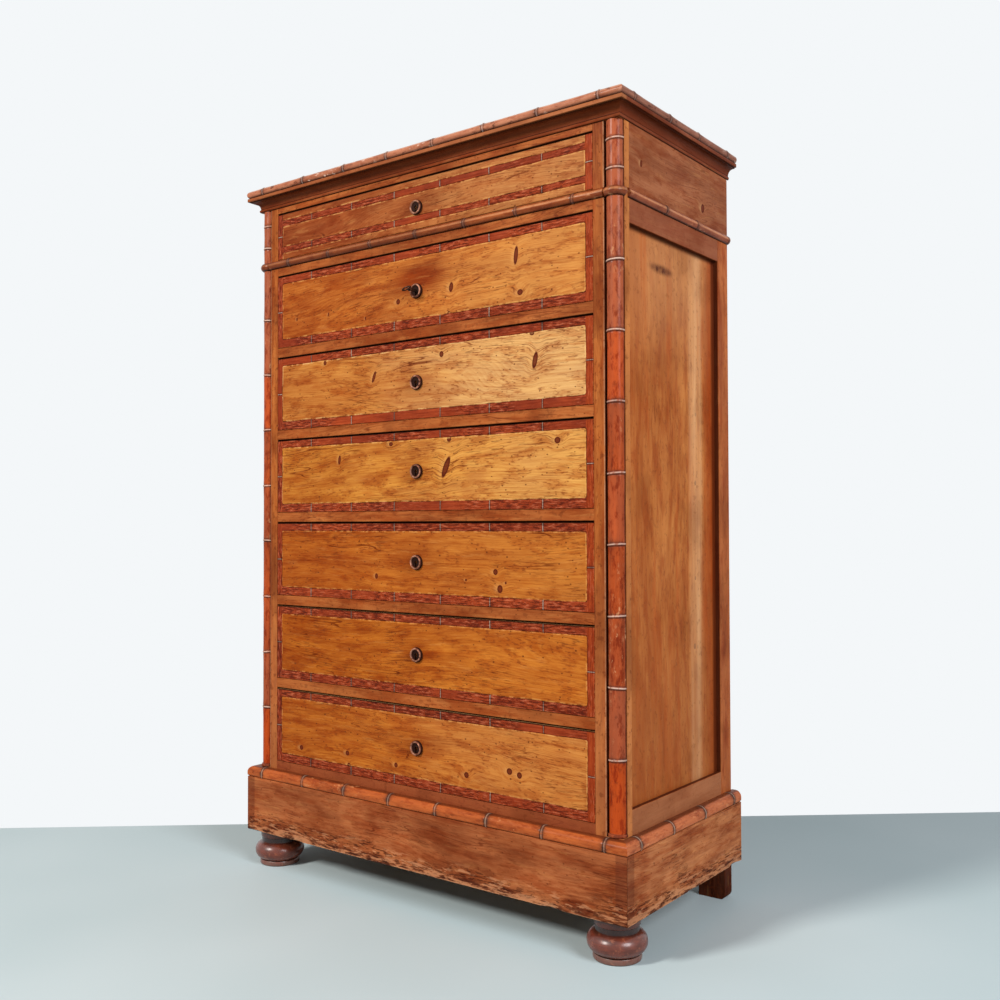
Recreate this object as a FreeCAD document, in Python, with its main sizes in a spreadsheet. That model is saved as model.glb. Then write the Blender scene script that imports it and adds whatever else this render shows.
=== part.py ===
"""A semainier: a tall chest of seven drawers in pine, trimmed with turned and half-round mouldings
cut to look like bamboo. Millimetres, +X to the right, +Y to the back, +Z up. The origin is on the
floor, at the middle of the whole box, which reaches forward to the bow of the key.
"""

import FreeCAD
import Part
import Sketcher

import math
import os
import re

UPRIGHT = FreeCAD.Rotation()
FRONT_TO_BACK = FreeCAD.Rotation(FreeCAD.Vector(0, 0, 1), 90)  # turns +X to +Y
ACROSS = FreeCAD.Rotation(FreeCAD.Vector(1, 0, 0), -90)  # turns +Z to +Y
SLACK = "10"  # how far a tool for a cut runs past the wood
TALL_ROWS = range(2, 8)  # the shallow top drawer is number 1

SIZES = (
    ("carcass_width", 912, "over the side frames"),
    ("carcass_depth", 416, "front plane to the back of the side frames"),
    ("back_overhang", 4, "plinth, cornice and top behind the carcass"),
    ("foot_height", 73, "floor to the plinth"),
    ("plinth_height", 114, "height of the plinth boards"),
    ("plinth_overhang", 19, "thickness of the plinth boards"),
    ("plinth_roll", 21.5, "height of the bamboo roll on the plinth"),
    ("roll_proud", 0.5, "roll beyond the plinth boards"),
    ("bottom_rail_show", 39.2, "bottom rail above the plinth"),
    ("bottom_rail_hidden", 27, "bottom rails below the top of the plinth"),
    ("opening_height", 157, "opening of each of the six tall drawers"),
    ("rail_height", 20.5, "rails between the tall drawers"),
    ("waist_rail_height", 35.2, "rail under the top drawer"),
    ("top_opening_height", 101, "opening of the shallow top drawer"),
    ("top_rail_height", 41.1, "rail over the top drawer"),
    ("rail_depth", 60, "front to back"),
    ("post_width", 53.5, "front post across the front"),
    ("post_depth", 31.3, "front post along the side"),
    ("frame_thickness", 26, "side frames"),
    ("rear_post_width", 43.5, "along the side"),
    ("side_rail_low", 25, "lower side rail above the lowest opening"),
    ("side_rail_high", 41, "upper side rail below the waist moulding"),
    ("panel_thickness", 10, "side panels"),
    ("panel_recess", 9.6, "side panels behind the frames"),
    ("panel_tongue", 7, "side panels into the frames"),
    ("back_thickness", 10, "back boards"),
    ("back_boards", 5, "number of boards in the back"),
    ("back_rail_height", 33, "rails behind the back boards' ends"),
    ("back_rail_thickness", 14, "rails inside the back boards"),
    ("column_radius", 15, "turned corner columns"),
    ("column_from_side", 16.5, "axis of a column to the side of the carcass"),
    ("column_from_front", 13.3, "axis of a column to the front plane"),
    ("column_flat", 2.5, "axis of a column to the flat at its back"),
    ("column_gap", 0.5, "column to the stile beside it"),
    ("column_foot", 0.5, "roll to the foot of the column"),
    ("ring_height", 4, "ring round a column at a node"),
    ("ring_proud", 1.3, "ring beyond the column or moulding"),
    ("base_ring_height", 6, "thick ring at the foot of a column"),
    ("base_ring_proud", 2.6, "thick ring beyond the column"),
    ("node_pitch", 120.5, "from node to node of the bamboo"),
    ("column_first_node", 110, "waist moulding down to the first node"),
    ("frieze_node", 30, "end of the short column to its node"),
    ("side_first_node", 26, "front plane back to the first node at the side"),
    ("cornice_height", 29, "below the top board"),
    ("cornice_front", 24, "fascia beyond the front plane"),
    ("cornice_side", 19, "fascia beyond the side frames"),
    ("fascia_height", 7, "flat band of the cornice"),
    ("fillet_drop", 2, "small step under the fascia"),
    ("bead_height", 7, "bead at the bottom of the cornice"),
    ("bead_proud", 4, "bead beyond the front plane"),
    ("cove_radius", 13, "hollow of the cornice"),
    ("cove_low_out", 1.4, "lower edge of the cove beyond the front plane"),
    ("cove_high_out", 13.4, "upper edge of the cove beyond the front plane"),
    ("step_out", 19.4, "small step beyond the front plane"),
    ("top_thickness", 17, "top board and its bamboo edging"),
    ("edging_width", 14, "bamboo edging on the top"),
    ("edging_proud", 1, "edging beyond the fascia"),
    ("waist_height", 17, "bamboo moulding under the top drawer"),
    ("waist_proud", 7.5, "waist moulding beyond the carcass"),
    ("waist_drop", 0.9, "opening of the top drawer down to the moulding"),
    ("ball_radius", 9, "ball that ends the waist moulding at the back"),
    ("ball_sunk", 1, "middle of the ball inside the side's face"),
    ("ball_from_back", 5.7, "middle of the ball to the back of the side"),
    ("front_thickness", 22, "drawer fronts"),
    ("side_thickness", 12, "drawer sides and backs"),
    ("side_drop", 4, "top of the drawer sides below the front's"),
    ("bottom_thickness", 8, "drawer bottoms"),
    ("bottom_lift", 8, "drawer bottoms above the lower edge"),
    ("bottom_tongue", 5, "drawer bottoms into their grooves"),
    ("drawer_lift", 0.5, "running clearance under a drawer"),
    ("drawer_gap", 0.5, "running clearance at each side"),
    ("drawer_top_gap", 2.5, "clearance over a drawer"),
    ("drawer_back_gap", 16, "drawer to the back boards"),
    ("tail_length", 14, "dovetails into the front"),
    ("tail_pitch", 34, "from dovetail to dovetail"),
    ("tail_width", 24, "dovetail at its wide end"),
    ("tail_neck", 17, "dovetail at its root"),
    ("arris", 1.2, "rounding round the drawer fronts"),
    ("runner_width", 22, "runner under a drawer side"),
    ("guide_height", 18, "guide beside a drawer side"),
    ("stop_width", 40, "drawer stop"),
    ("stop_depth", 12, "drawer stop"),
    ("stop_height", 6, "drawer stop"),
    ("stop_place", 250, "drawer stop from the middle"),
    ("stop_gap", 0.3, "drawer front to its stop"),
    ("lock_width", 56, "lock case"),
    ("lock_depth", 12, "lock case into the front"),
    ("lock_wall", 1.8, "plates of the lock case"),
    ("lock_drop", 20, "keyhole down to the bottom of the case"),
    ("bolt_width", 22, "bolt across"),
    ("bolt_thickness", 3.6, "bolt front to back"),
    ("bolt_travel", 8, "throw of the bolt"),
    ("bolt_play", 0.3, "clearance round the bolt"),
    ("mortise_play", 1, "clearance round the bolt in its mortise"),
    ("bolt_tail", 6, "keyhole up to the tail of the bolt"),
    ("pin_radius", 1.5, "pin that the pipe key turns on"),
    ("pin_play", 0.1, "pin in the bore of the key"),
    ("pin_length", 14, "pin out of the back plate"),
    ("pipe_play", 1, "end of the pin to the bottom of the key's bore"),
    ("keyhole_radius", 3.5, "round of the keyhole"),
    ("keyhole_slot", 3.6, "width of the keyhole's slot"),
    ("keyhole_drop", 11, "keyhole's axis to the end of its slot"),
    ("stem_radius", 2.8, "stem of the key"),
    ("stem_reach", 25, "stem out of the drawer front"),
    ("shoulder_radius", 3.9, "collar on the stem"),
    ("shoulder_length", 1.5, "collar on the stem"),
    ("shoulder_place", 3, "outer end of the stem to its collar"),
    ("bow_width", 22, "bow of the key across"),
    ("bow_length", 13, "bow of the key along its stem"),
    ("bow_wire", 1.5, "radius of the bow's wire"),
    ("key_tilt", 16, "bow out of the level, in degrees"),
    ("bit_length", 9.5, "key's axis to the end of its bit"),
    ("bit_width", 4, "bit along the stem"),
    ("bit_thickness", 2.6, "bit"),
    ("boss_radius", 14.5, "escutcheon"),
    ("boss_height", 7, "escutcheon out of the drawer front"),
    ("boss_dish", 3.5, "height of the escutcheon's floor"),
    ("boss_floor", 9, "radius of the escutcheon's floor"),
    ("boss_rim", 3, "crest of the escutcheon's rim to its edge"),
    ("boss_edge", 2.5, "upright edge of the escutcheon"),
    ("boss_round", 4.5, "rounding of the escutcheon's rim"),
    ("bun_radius", 52, "front feet at the belly"),
    ("bun_base", 42, "front feet at the floor"),
    ("bun_base_height", 11, "ring under the bun"),
    ("bun_collar_height", 15, "ring over the bun"),
    ("bun_neck_height", 10, "neck between bun and collar"),
    ("bun_neck", 4, "groove between bun and rings"),
    ("bun_inset", 30, "foot's axis in from the carcass, both ways"),
    ("spigot_radius", 12, "spigot of a bun foot"),
    ("spigot_length", 24, "spigot of a bun foot"),
    ("foot_block", 92, "square block that takes the spigot"),
    ("foot_block_height", 30, "block that takes the spigot"),
    ("rear_foot_width", 57, "rear feet across the back"),
    ("rear_foot_depth", 30, "rear feet front to back"),
    ("rear_foot_round", 12, "rounded corner of a rear foot"),
    ("keyhole_sink_1", 7, "keyhole below the middle of drawer 1"),
    ("keyhole_sink_2", 6, "keyhole below the middle of drawer 2"),
    ("keyhole_sink_3", 6, "keyhole below the middle of drawer 3"),
    ("keyhole_sink_4", 1, "keyhole below the middle of drawer 4"),
    ("keyhole_sink_5", -1, "keyhole below the middle of drawer 5"),
    ("keyhole_sink_6", -0.5, "keyhole below the middle of drawer 6"),
    ("keyhole_sink_7", 0.5, "keyhole below the middle of drawer 7"),
)

# Places that several pieces share, worked out from the sizes.
PLACES = {
    "half": "carcass_width / 2",
    "key_reach": "stem_reach + bow_length - bow_wire",
    "front": "(key_reach - carcass_depth - back_overhang) / 2",
    "back": "front + carcass_depth",
    "far_back": "back + back_overhang",
    "inside_back": "back - back_thickness",
    "post_inside": "half - post_width",
    "frame_inside": "half - frame_thickness",
    "post_back": "front + post_depth",
    "rear_post_front": "back - rear_post_width",
    "plinth_top": "foot_height + plinth_height",
    "roll_top": "plinth_top + plinth_roll",
    "block_top": "foot_height + foot_block_height",
    "rails_low": "plinth_top - bottom_rail_hidden",
    "lowest_opening": "plinth_top + bottom_rail_show",
    "row_pitch": "opening_height + rail_height",
    "waist_rail_low": f"lowest_opening + {len(TALL_ROWS) - 1} * row_pitch + opening_height",
    "top_opening": "waist_rail_low + waist_rail_height",
    "top_rail_low": "top_opening + top_opening_height",
    "carcass_top": "top_rail_low + top_rail_height",
    "cornice_low": "carcass_top - cornice_height",
    "waist_high": "top_opening - waist_drop",
    "waist_low": "waist_high - waist_height",
    "column_x": "half - column_from_side",
    "column_y": "front + column_from_front",
    "column_low": "roll_top + column_foot",
    "notch_width": "column_from_side + column_radius + column_gap",
    "notch_depth": "column_from_front + column_flat",
    "panel_low": "lowest_opening + side_rail_low",
    "panel_high": "waist_low - side_rail_high",
    "drawer_half": "post_inside - drawer_gap",
    "drawer_inside": "drawer_half - side_thickness",
    "front_back": "front + front_thickness",
    "drawer_back": "inside_back - drawer_back_gap",
    "lock_front": "front_back - lock_depth",
    "plate_front": "front_back - lock_wall",
    "bolt_front": "plate_front - bolt_play - bolt_thickness",
    "bit_front": "bolt_front - bolt_play - bit_width",
}

doc = FreeCAD.newDocument("Semainier")
sheet = doc.addObject("Spreadsheet::Sheet", "Sizes")
for row, (alias, size, meaning) in enumerate(SIZES, start=1):
    sheet.set(f"A{row}", meaning)
    sheet.set(f"B{row}", str(size))
    sheet.setAlias(f"B{row}", alias)
doc.recompute()


def formula(text):
    """The text as FreeCAD's own expression: places are worked out and sizes are read from the sheet."""
    def spell(match):
        name = match[0]
        return f"({formula(PLACES[name])})" if name in PLACES else f"Sizes.{name}"
    return re.sub(r"\b[a-z]\w*\b(?!\()", spell, str(text))


def number(text):
    """The value of a formula, for code that needs it as a number."""
    return float(sheet.evalExpression(formula(text)))


def bind(thing, **formulas):
    """Tie properties of an object to the sheet."""
    for name, text in formulas.items():
        thing.setExpression(name, formula(text))
    return thing


def put(thing, x="0", y="0", z="0", turn=UPRIGHT):
    """Place an object: its turn is fixed and its position is tied to the sheet."""
    thing.Placement = FreeCAD.Placement(FreeCAD.Vector(), turn)
    for axis, text in (("x", x), ("y", y), ("z", z)):
        thing.setExpression(f".Placement.Base.{axis}", formula(text))
    return thing


def block(name, low, high):
    """A straight-edged board or a tool for a cut, from its low corner to its high one."""
    sides = [f"({b}) - ({a})" for a, b in zip(low, high)]
    board = bind(doc.addObject("Part::Box", name), Length=sides[0], Width=sides[1], Height=sides[2])
    return put(board, *low)


def rod(name, radius, length, x, y, z, turn=UPRIGHT):
    """A cylinder that starts at x, y, z and runs along +Z, or along +Y where it is turned ACROSS."""
    return put(bind(doc.addObject("Part::Cylinder", name), Radius=radius, Height=length), x, y, z, turn)


def cut(name, base, *tools):
    """The base less each tool, one after the other."""
    for count, tool in enumerate(tools, start=1):
        result = doc.addObject("Part::Cut", name if count == len(tools) else f"{name}_cut_{count}")
        result.Base, result.Tool = base, tool
        base = result
    return base


def common(name, base, tool):
    """What two objects share."""
    result = doc.addObject("Part::Common", name)
    result.Base, result.Tool = base, tool
    return result


def fuse(name, *pieces):
    """Several objects as one piece of material."""
    result = doc.addObject("Part::MultiFuse", name)
    result.Shapes = list(pieces)
    return result


def group(name, *pieces):
    """Separate solids that make one sub-part."""
    result = doc.addObject("Part::Compound", name)
    result.Links = list(pieces)
    return result


def mirror(name, piece):
    """The same piece at the other side of the chest."""
    result = doc.addObject("Part::Mirroring", name)
    result.Source = piece
    result.Normal = FreeCAD.Vector(1, 0, 0)
    return result


def pair(name, piece):
    """A piece and its mirror image as one sub-part."""
    return group(name, piece, mirror(f"{name}_mirrored", piece))


def own_plane(body, role):
    """One of the body's own origin planes or axes."""
    return next(part for part in body.Origin.OriginFeatures if part.Role == role)


def arc_between(start, end, radius):
    """The short arc from start to end, to the left of the way there where the radius is positive."""
    way = end - start
    left = FreeCAD.Vector(-way.y, way.x, 0).normalize()
    offset = math.sqrt(radius * radius - way.Length ** 2 / 4)
    middle = (start + end) / 2 + left * math.copysign(offset, radius)
    first, last = (start, end) if radius > 0 else (end, start)
    angles = [math.atan2(point.y - middle.y, point.x - middle.x) for point in (first, last)]
    return Part.ArcOfCircle(Part.Circle(middle, FreeCAD.Vector(0, 0, 1), abs(radius)), *angles)


def outline(body, plane, corners, name="Outline"):
    """A closed sketch on the body's own plane. A corner is two formulas; a third is the radius of the arc
    that leads on to the next corner, anticlockwise where "+" comes first and clockwise where "-" does."""
    sketch = body.newObject("Sketcher::SketchObject", name)
    sketch.AttachmentSupport = [(own_plane(body, plane), "")]
    sketch.MapMode = "FlatFace"
    points = [FreeCAD.Vector(number(corner[0]), number(corner[1]), 0) for corner in corners]
    ends = []
    for index, corner in enumerate(corners):
        start, end = points[index], points[(index + 1) % len(points)]
        if len(corner) == 3:
            turn, radius = corner[2][0], corner[2][1:]
            size = number(radius) * (1 if turn == "+" else -1)
            sketch.addGeometry(arc_between(start, end, size))
            ends.append((1, 2) if turn == "+" else (2, 1))
            place = sketch.addConstraint(Sketcher.Constraint("Radius", index, abs(size)))
            sketch.setExpression(f"Constraints[{place}]", formula(radius))
        else:
            sketch.addGeometry(Part.LineSegment(start, end))
            ends.append((1, 2))
    for index, point in enumerate(points):
        before = index - 1 if index else len(points) - 1
        start, last_end = ends[index][0], ends[before][1]
        sketch.addConstraint(Sketcher.Constraint("Coincident", before, last_end, index, start))
        across, up = corners[index][:2]
        for kind, text, size in (("DistanceX", across, point.x), ("DistanceY", up, point.y)):
            place = sketch.addConstraint(Sketcher.Constraint(kind, -1, 1, index, start, size))
            sketch.setExpression(f"Constraints[{place}]", formula(text))
    return sketch


def padded(body, sketch, length, backwards=False):
    """The sketch as a solid of this length."""
    pad = body.newObject("PartDesign::Pad", "Pad")
    pad.Profile = sketch
    pad.Reversed = backwards
    return bind(pad, Length=length)


def turned(body, corners, name="Profile", plane="XZ_Plane"):
    """A turned shape: the outline goes round the body's upright axis."""
    sketch = outline(body, plane, corners, name)
    turning = body.newObject("PartDesign::Revolution", "Turning")
    turning.Profile = sketch
    turning.ReferenceAxis = (sketch, ["V_Axis"])
    turning.Angle = 360
    return turning


def repeated(body, feature, axis, count, pitch):
    """Copies of a feature along one of the body's axes. Their number follows the sizes."""
    pattern = body.newObject("PartDesign::LinearPattern", "Copies")
    pattern.Originals = [feature]
    pattern.Direction = (own_plane(body, axis), [""])
    bind(pattern, Length=f"({count} - 1) * ({pitch})", Occurrences=count)
    body.Tip = pattern
    return pattern


def bulge(rise, span):
    """Radius of an arc that stands out by rise over a chord of twice this span."""
    return f"(({rise}) * ({rise}) + ({span}) * ({span})) / (2 * ({rise}))"


# Mouldings that go round the front and both sides. A section's corners are out from the carcass, and up.

def moulding(name, section, length, ring_places=None):
    """A straight length of moulding along +X, with the carcass behind it, and rings at the bamboo's nodes."""
    body = doc.addObject("PartDesign::Body", name)
    corners = [(f"-({corner[0]})", *corner[1:]) for corner in section]
    padded(body, outline(body, "YZ_Plane", corners), length)
    if ring_places:
        first, count, ring_section = ring_places
        rings = [(f"-({corner[0]})", *corner[1:]) for corner in ring_section]
        sketch = outline(body, "YZ_Plane", rings, "RingOutline")
        sketch.setExpression(".AttachmentOffset.Base.z", formula(first))
        ring = body.newObject("PartDesign::Pad", "Ring")
        ring.Profile = sketch
        bind(ring, Length="ring_height")
        repeated(body, ring, "X_Axis", count, "node_pitch")
    return body


def surround(name, front_bar, side_bar, height, front_reach, side_reach, low, more):
    """Three bars mitred at the front corners. The mitre runs from the carcass's corner to the bars' own."""
    wedge = doc.addObject("Part::Wedge", f"{name}_mitre")
    under, over = f"{low} - {SLACK}", f"{low} + {height} + {SLACK}"
    bind(wedge, Xmin=f"-half - ({side_reach})", Xmax=f"half + {side_reach}", X2min="-half", X2max="half",
         Ymin=f"front - ({front_reach})", Ymax="front", Zmin=under, Zmax=over, Z2min=under, Z2max=over)
    put(front_bar, f"-half - ({side_reach})", "front", low)
    put(side_bar, "half", f"front - ({front_reach})", low, FRONT_TO_BACK)
    front = common(f"{name}_front", front_bar, wedge)
    side = cut(f"{name}_side", side_bar, wedge)
    return group(name, front, side, mirror(f"{name}_side_mirrored", side), *more)


def node_count(length, first):
    """How many nodes of the bamboo fit in a length after the first one."""
    return f"floor(({length} - ({first}) - ring_height) / node_pitch) + 1"


def nosed(reach, inner, height, proud="0"):
    """Section of a bar with a half-round nose, out to reach and in to inner; a ring stands proud of it."""
    radius = f"({height} + {proud}) / 2"
    belly = f"{reach} + {proud} - {radius}"
    top = f"{height} + {proud}"
    return [(inner, "0"), (belly, "0", f"-{radius}"), (f"{reach} + {proud}", radius, f"-{radius}"),
            (belly, top), (inner, top)]


def lens(rise, height, foot="0", face="0", turn="-"):
    """The three corners of a half-round that stands out of a face by rise, with its lower edge at foot."""
    arc = turn + bulge(rise, f"{height} / 2")
    crest = (f"{face} + {rise}", f"{foot} + {height} / 2", arc)
    return [(face, foot, arc), crest, (face, f"{foot} + {height}")]


SUBPARTS = {}


def subpart(piece):
    """Keep a finished sub-part: its name is its node's."""
    piece.Label = piece.Name
    SUBPARTS[piece.Label] = piece
    return piece


# The frame: corner posts, framed sides, rails, runners and back.

side_panel = block("side_panel", ("half - panel_recess - panel_thickness", "post_back - panel_tongue",
                                  "panel_low - panel_tongue"),
                   ("half - panel_recess", "rear_post_front + panel_tongue", "panel_high + panel_tongue"))
subpart(pair("side_panels", side_panel))

notch = block("notch", ("half - notch_width", f"front - {SLACK}", "column_low"),
              (f"half + {SLACK}", "front + notch_depth", "cornice_low"))
post = block("post", ("post_inside", "front", "block_top"), ("half", "post_back", "carcass_top"))
subpart(pair("corner_posts", cut("notched_post", post, notch, side_panel)))

corner = block("corner", ("post_inside", "front", "column_low"),
               ("half", "front + rail_depth", "cornice_low"))
corner_core = cut("corner_core", corner, notch)


def side_frame():
    """Rear post, two rails and the frieze board of the right side, grooved for the panel."""
    rear_post = block("rear_post", ("frame_inside", "rear_post_front", "foot_height"),
                      ("half", "back", "waist_high"))
    low_rail = block("low_side_rail", ("frame_inside", "post_back", "rails_low"),
                     ("half", "rear_post_front", "panel_low"))
    high_rail = block("high_side_rail", ("frame_inside", "post_back", "panel_high"),
                      ("half", "rear_post_front", "waist_high"))
    frieze = block("frieze_board", ("frame_inside", "post_back", "waist_high"),
                   ("half", "back", "carcass_top"))
    members = [cut(f"grooved_{member.Name}", member, side_panel)
               for member in (rear_post, low_rail, high_rail)]
    return group("side_frame_right", *members, frieze)


right_frame = subpart(side_frame())
subpart(mirror("side_frame_left", right_frame))

OPENINGS = {1: ("top_opening", "top_opening_height")}
OPENINGS.update({row: (f"lowest_opening + {TALL_ROWS[-1] - row} * row_pitch", "opening_height")
                 for row in TALL_ROWS})


def fronts_height(row):
    """Height of a drawer front."""
    return f"({OPENINGS[row][1]} - drawer_lift - drawer_top_gap)"


def keyhole_height(row):
    """Height of a drawer's keyhole above the floor."""
    return f"({OPENINGS[row][0]} + drawer_lift + {fronts_height(row)} / 2 - keyhole_sink_{row})"


def rail(name, low, high, drawer_below=True):
    """A front rail between the posts. Over a drawer it has a mortise for that drawer's bolt."""
    board = block(name, ("-post_inside", "front", low), ("post_inside", "front + rail_depth", high))
    if not drawer_below:
        return board
    mortise = block(f"{name}_mortise",
                    ("-bolt_width / 2 - mortise_play", "bolt_front - mortise_play", f"{low} - {SLACK}"),
                    ("bolt_width / 2 + mortise_play", "bolt_front + bolt_thickness + mortise_play",
                     f"{low} + bolt_travel - drawer_top_gap + mortise_play"))
    return cut(f"{name}_mortised", board, mortise)


rails = [rail("bottom_rail", "rails_low", "lowest_opening", drawer_below=False),
         rail("top_rail", "top_rail_low", "carcass_top"),
         rail("waist_rail", "waist_rail_low", "top_opening")]
rails += [rail(f"rail_over_{row}", f"{OPENINGS[row][0]} + opening_height", OPENINGS[row - 1][0])
          for row in TALL_ROWS[1:]]
subpart(group("front_rails", *rails))


def runners(row):
    """What carries a drawer at its right side: runner, guide and the stop behind its front."""
    low = OPENINGS[row][0]
    runner = block(f"runner_{row}",
                   ("drawer_half - runner_width", "front + rail_depth", f"{low} - rail_height"),
                   ("frame_inside", "inside_back", low))
    guide = block(f"guide_{row}", ("post_inside", "post_back", low),
                  ("frame_inside", "inside_back", f"{low} + guide_height"))
    stop = block(f"stop_{row}", ("stop_place", "front_back + stop_gap", low),
                 ("stop_place + stop_width", "front_back + stop_gap + stop_depth", f"{low} + stop_height"))
    return runner, guide, stop


right_runners = group("right_runners", *[piece for row in OPENINGS for piece in runners(row)])
subpart(pair("drawer_runners", right_runners))


def back():
    """Upright boards between the rear posts, on a rail at either end."""
    count = round(number("back_boards"))
    width = f"(2 * frame_inside / {count})"
    boards = [block(f"back_board_{place}",
                    (f"-frame_inside + {place} * {width}", "inside_back", "foot_height"),
                    (f"-frame_inside + {place + 1} * {width}", "back", "carcass_top"))
              for place in range(count)]
    ends = (("low", "foot_height"), ("high", "carcass_top - back_rail_height"))
    cross = [block(f"back_rail_{end}", ("-frame_inside", "inside_back - back_rail_thickness", low),
                   ("frame_inside", "inside_back", f"{low} + back_rail_height")) for end, low in ends]
    return group("back_panel", *boards, *cross)


subpart(back())

# The turned corner columns: a long shaft under the waist moulding and a short one in the frieze.

def shaft(name, low, length, base, first_node, count, pitch):
    """A turned shaft with a ring at each node, flat where it lies in the corner post's notch. The long one
    also has a thick ring at its foot."""
    body = put(doc.addObject("PartDesign::Body", name), "column_x", "column_y", low)
    foot = [("column_radius", "0")]
    if base:
        foot = lens("base_ring_proud", "base_ring_height", face="column_radius", turn="+")
    turned(body, [("0", "0"), *foot, ("column_radius", length), ("0", length)])
    ring = lens("ring_proud", "ring_height", first_node, "column_radius", "+")
    node = [*ring, ("column_radius / 2", ring[2][1]), ("column_radius / 2", first_node)]
    ring_turning = turned(body, node, "NodeProfile")
    repeated(body, ring_turning, "Z_Axis", count, pitch)
    behind = block(f"{name}_behind", ("half - notch_width", "front + notch_depth", f"{low} - {SLACK}"),
                   (f"half + {SLACK}", "front + rail_depth", f"{low} + {length} + {SLACK}"))
    return cut(f"{name}_fitted", body, corner_core, behind)


long_shaft, short_shaft = "(waist_low - column_low)", "(cornice_low - waist_high)"
long_count = node_count(long_shaft, "column_first_node + base_ring_height")
lowest_node = f"({long_shaft} - column_first_node - ({long_count} - 1) * node_pitch)"
shafts = [shaft("long_shaft", "column_low", long_shaft, True, lowest_node, long_count, "node_pitch"),
          shaft("short_shaft", "waist_high", short_shaft, False, "frieze_node", "2",
                f"{short_shaft} - 2 * frieze_node - ring_height")]
right_column = subpart(group("corner_column_right", *shafts))
subpart(mirror("corner_column_left", right_column))

# Mouldings that go round the front and both sides, and the boards under them.

def bars(name, front_section, side_section, front_reach, side_reach, low, height, rings=None, more=()):
    """A front bar and two side bars with these sections; rings gives the two sections of a node's ring."""
    front_length = f"(2 * (half + {side_reach}))"
    side_length = f"(far_back - front + {front_reach})"
    front_count = f"(2 * floor({front_length} / node_pitch / 2 + 0.5))"
    front_rings = side_rings = None
    if rings:
        front_start = f"({front_length} - ({front_count} - 1) * node_pitch - ring_height) / 2"
        front_rings = (front_start, front_count, rings[0])
        side_start = f"({front_reach} + side_first_node)"
        side_rings = (side_start, node_count(side_length, side_start), rings[1])
    front_bar = moulding(f"{name}_front_bar", front_section, front_length, front_rings)
    side_bar = moulding(f"{name}_side_bar", side_section, side_length, side_rings)
    return surround(name, front_bar, side_bar, height, front_reach, side_reach, low, more)


def cornice_section(reach):
    """Bead, cove, step and fascia. The side's section is drawn in, so that it meets the front's in the mitre."""
    sizes = ("bead_proud", "cove_low_out", "cove_high_out", "step_out")
    bead, cove_low, cove_high, step = (f"({size} * {reach} / cornice_front)" for size in sizes)
    bead_arc = f"-{bulge(bead, 'bead_height / 2')}"
    fascia_low = "cornice_height - fascia_height"
    step_low = f"{fascia_low} - fillet_drop"
    return [("0", "0", bead_arc), (bead, "bead_height / 2", bead_arc),
            (cove_low, "bead_height", "+cove_radius"), (cove_high, step_low), (step, step_low),
            (step, fascia_low), (reach, fascia_low), (reach, "cornice_height"), ("0", "cornice_height")]


subpart(bars("cornice", cornice_section("cornice_front"), cornice_section("cornice_side"), "cornice_front",
             "cornice_side", "cornice_low", "cornice_height"))

front_edge, side_edge = "(cornice_front + edging_proud)", "(cornice_side + edging_proud)"
edging_sections = [[nosed(edge, f"{edge} - edging_width", "top_thickness", proud)
                    for edge in (front_edge, side_edge)] for proud in ("0", "ring_proud")]
subpart(bars("top_edging", *edging_sections[0], front_edge, side_edge, "carcass_top", "top_thickness",
             edging_sections[1]))
subpart(block("top_board", (f"-half - {side_edge} + edging_width", f"front - {front_edge} + edging_width",
                            "carcass_top"),
              (f"half + {side_edge} - edging_width", "far_back", "carcass_top + top_thickness")))

roll_reach = "(plinth_overhang + roll_proud)"
roll_sections = [nosed(roll_reach, "0", "plinth_roll", proud) for proud in ("0", "ring_proud")]
subpart(bars("plinth_roll", roll_sections[0], roll_sections[0], roll_reach, roll_reach, "plinth_top",
             "plinth_roll", (roll_sections[1], roll_sections[1])))


def waist():
    """The half-round under the top drawer. It goes round the columns and ends in a small ball at the back."""
    collar_body = put(doc.addObject("PartDesign::Body", "collar"), "column_x", "column_y", "waist_low")
    turned(collar_body, [("0", "0"), *lens("waist_proud", "waist_height", face="column_radius", turn="+"),
                         ("0", "waist_height")])
    collar = cut("collar_fitted", collar_body, corner_core)
    section = lens("waist_proud", "waist_height")
    ring = lens("waist_proud + ring_proud", "waist_height")
    front_length = "(2 * column_x)"
    front_count = f"(2 * floor({front_length} / node_pitch / 2) + 1)"
    front_start = f"({front_length} - ({front_count} - 1) * node_pitch - ring_height) / 2"
    front_bar = moulding("waist_front_bar", section, front_length, (front_start, front_count, ring))
    put(front_bar, "-column_x", "front", "waist_low")
    side_start = "(side_first_node - column_from_front + node_pitch)"
    side_length = "(back - column_y)"
    side_bar = moulding("waist_side_bar", section, side_length,
                        (side_start, node_count(side_length, side_start), ring))
    put(side_bar, "half", "column_y", "waist_low", FRONT_TO_BACK)
    ball = bind(doc.addObject("Part::Sphere", "waist_ball"), Radius="ball_radius")
    put(ball, "half - ball_sunk", "back - ball_from_back", "waist_low + waist_height / 2")
    inside = block("waist_inside",
                   ("half - 2 * ball_radius", "back - 4 * ball_radius", f"waist_low - {SLACK}"),
                   ("half", f"back + {SLACK}", f"waist_high + {SLACK}"))
    end = cut("waist_end", ball, inside)
    side = fuse("waist_side", cut("waist_side_bar_fitted", side_bar, collar_body), end)
    front = cut("waist_front", front_bar, collar_body, mirror("collar_body_mirrored", collar_body))
    return group("waist_moulding", front, collar, side, mirror("collar_mirrored", collar),
                 mirror("waist_side_mirrored", side))


subpart(waist())

# Plinth and feet.

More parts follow.
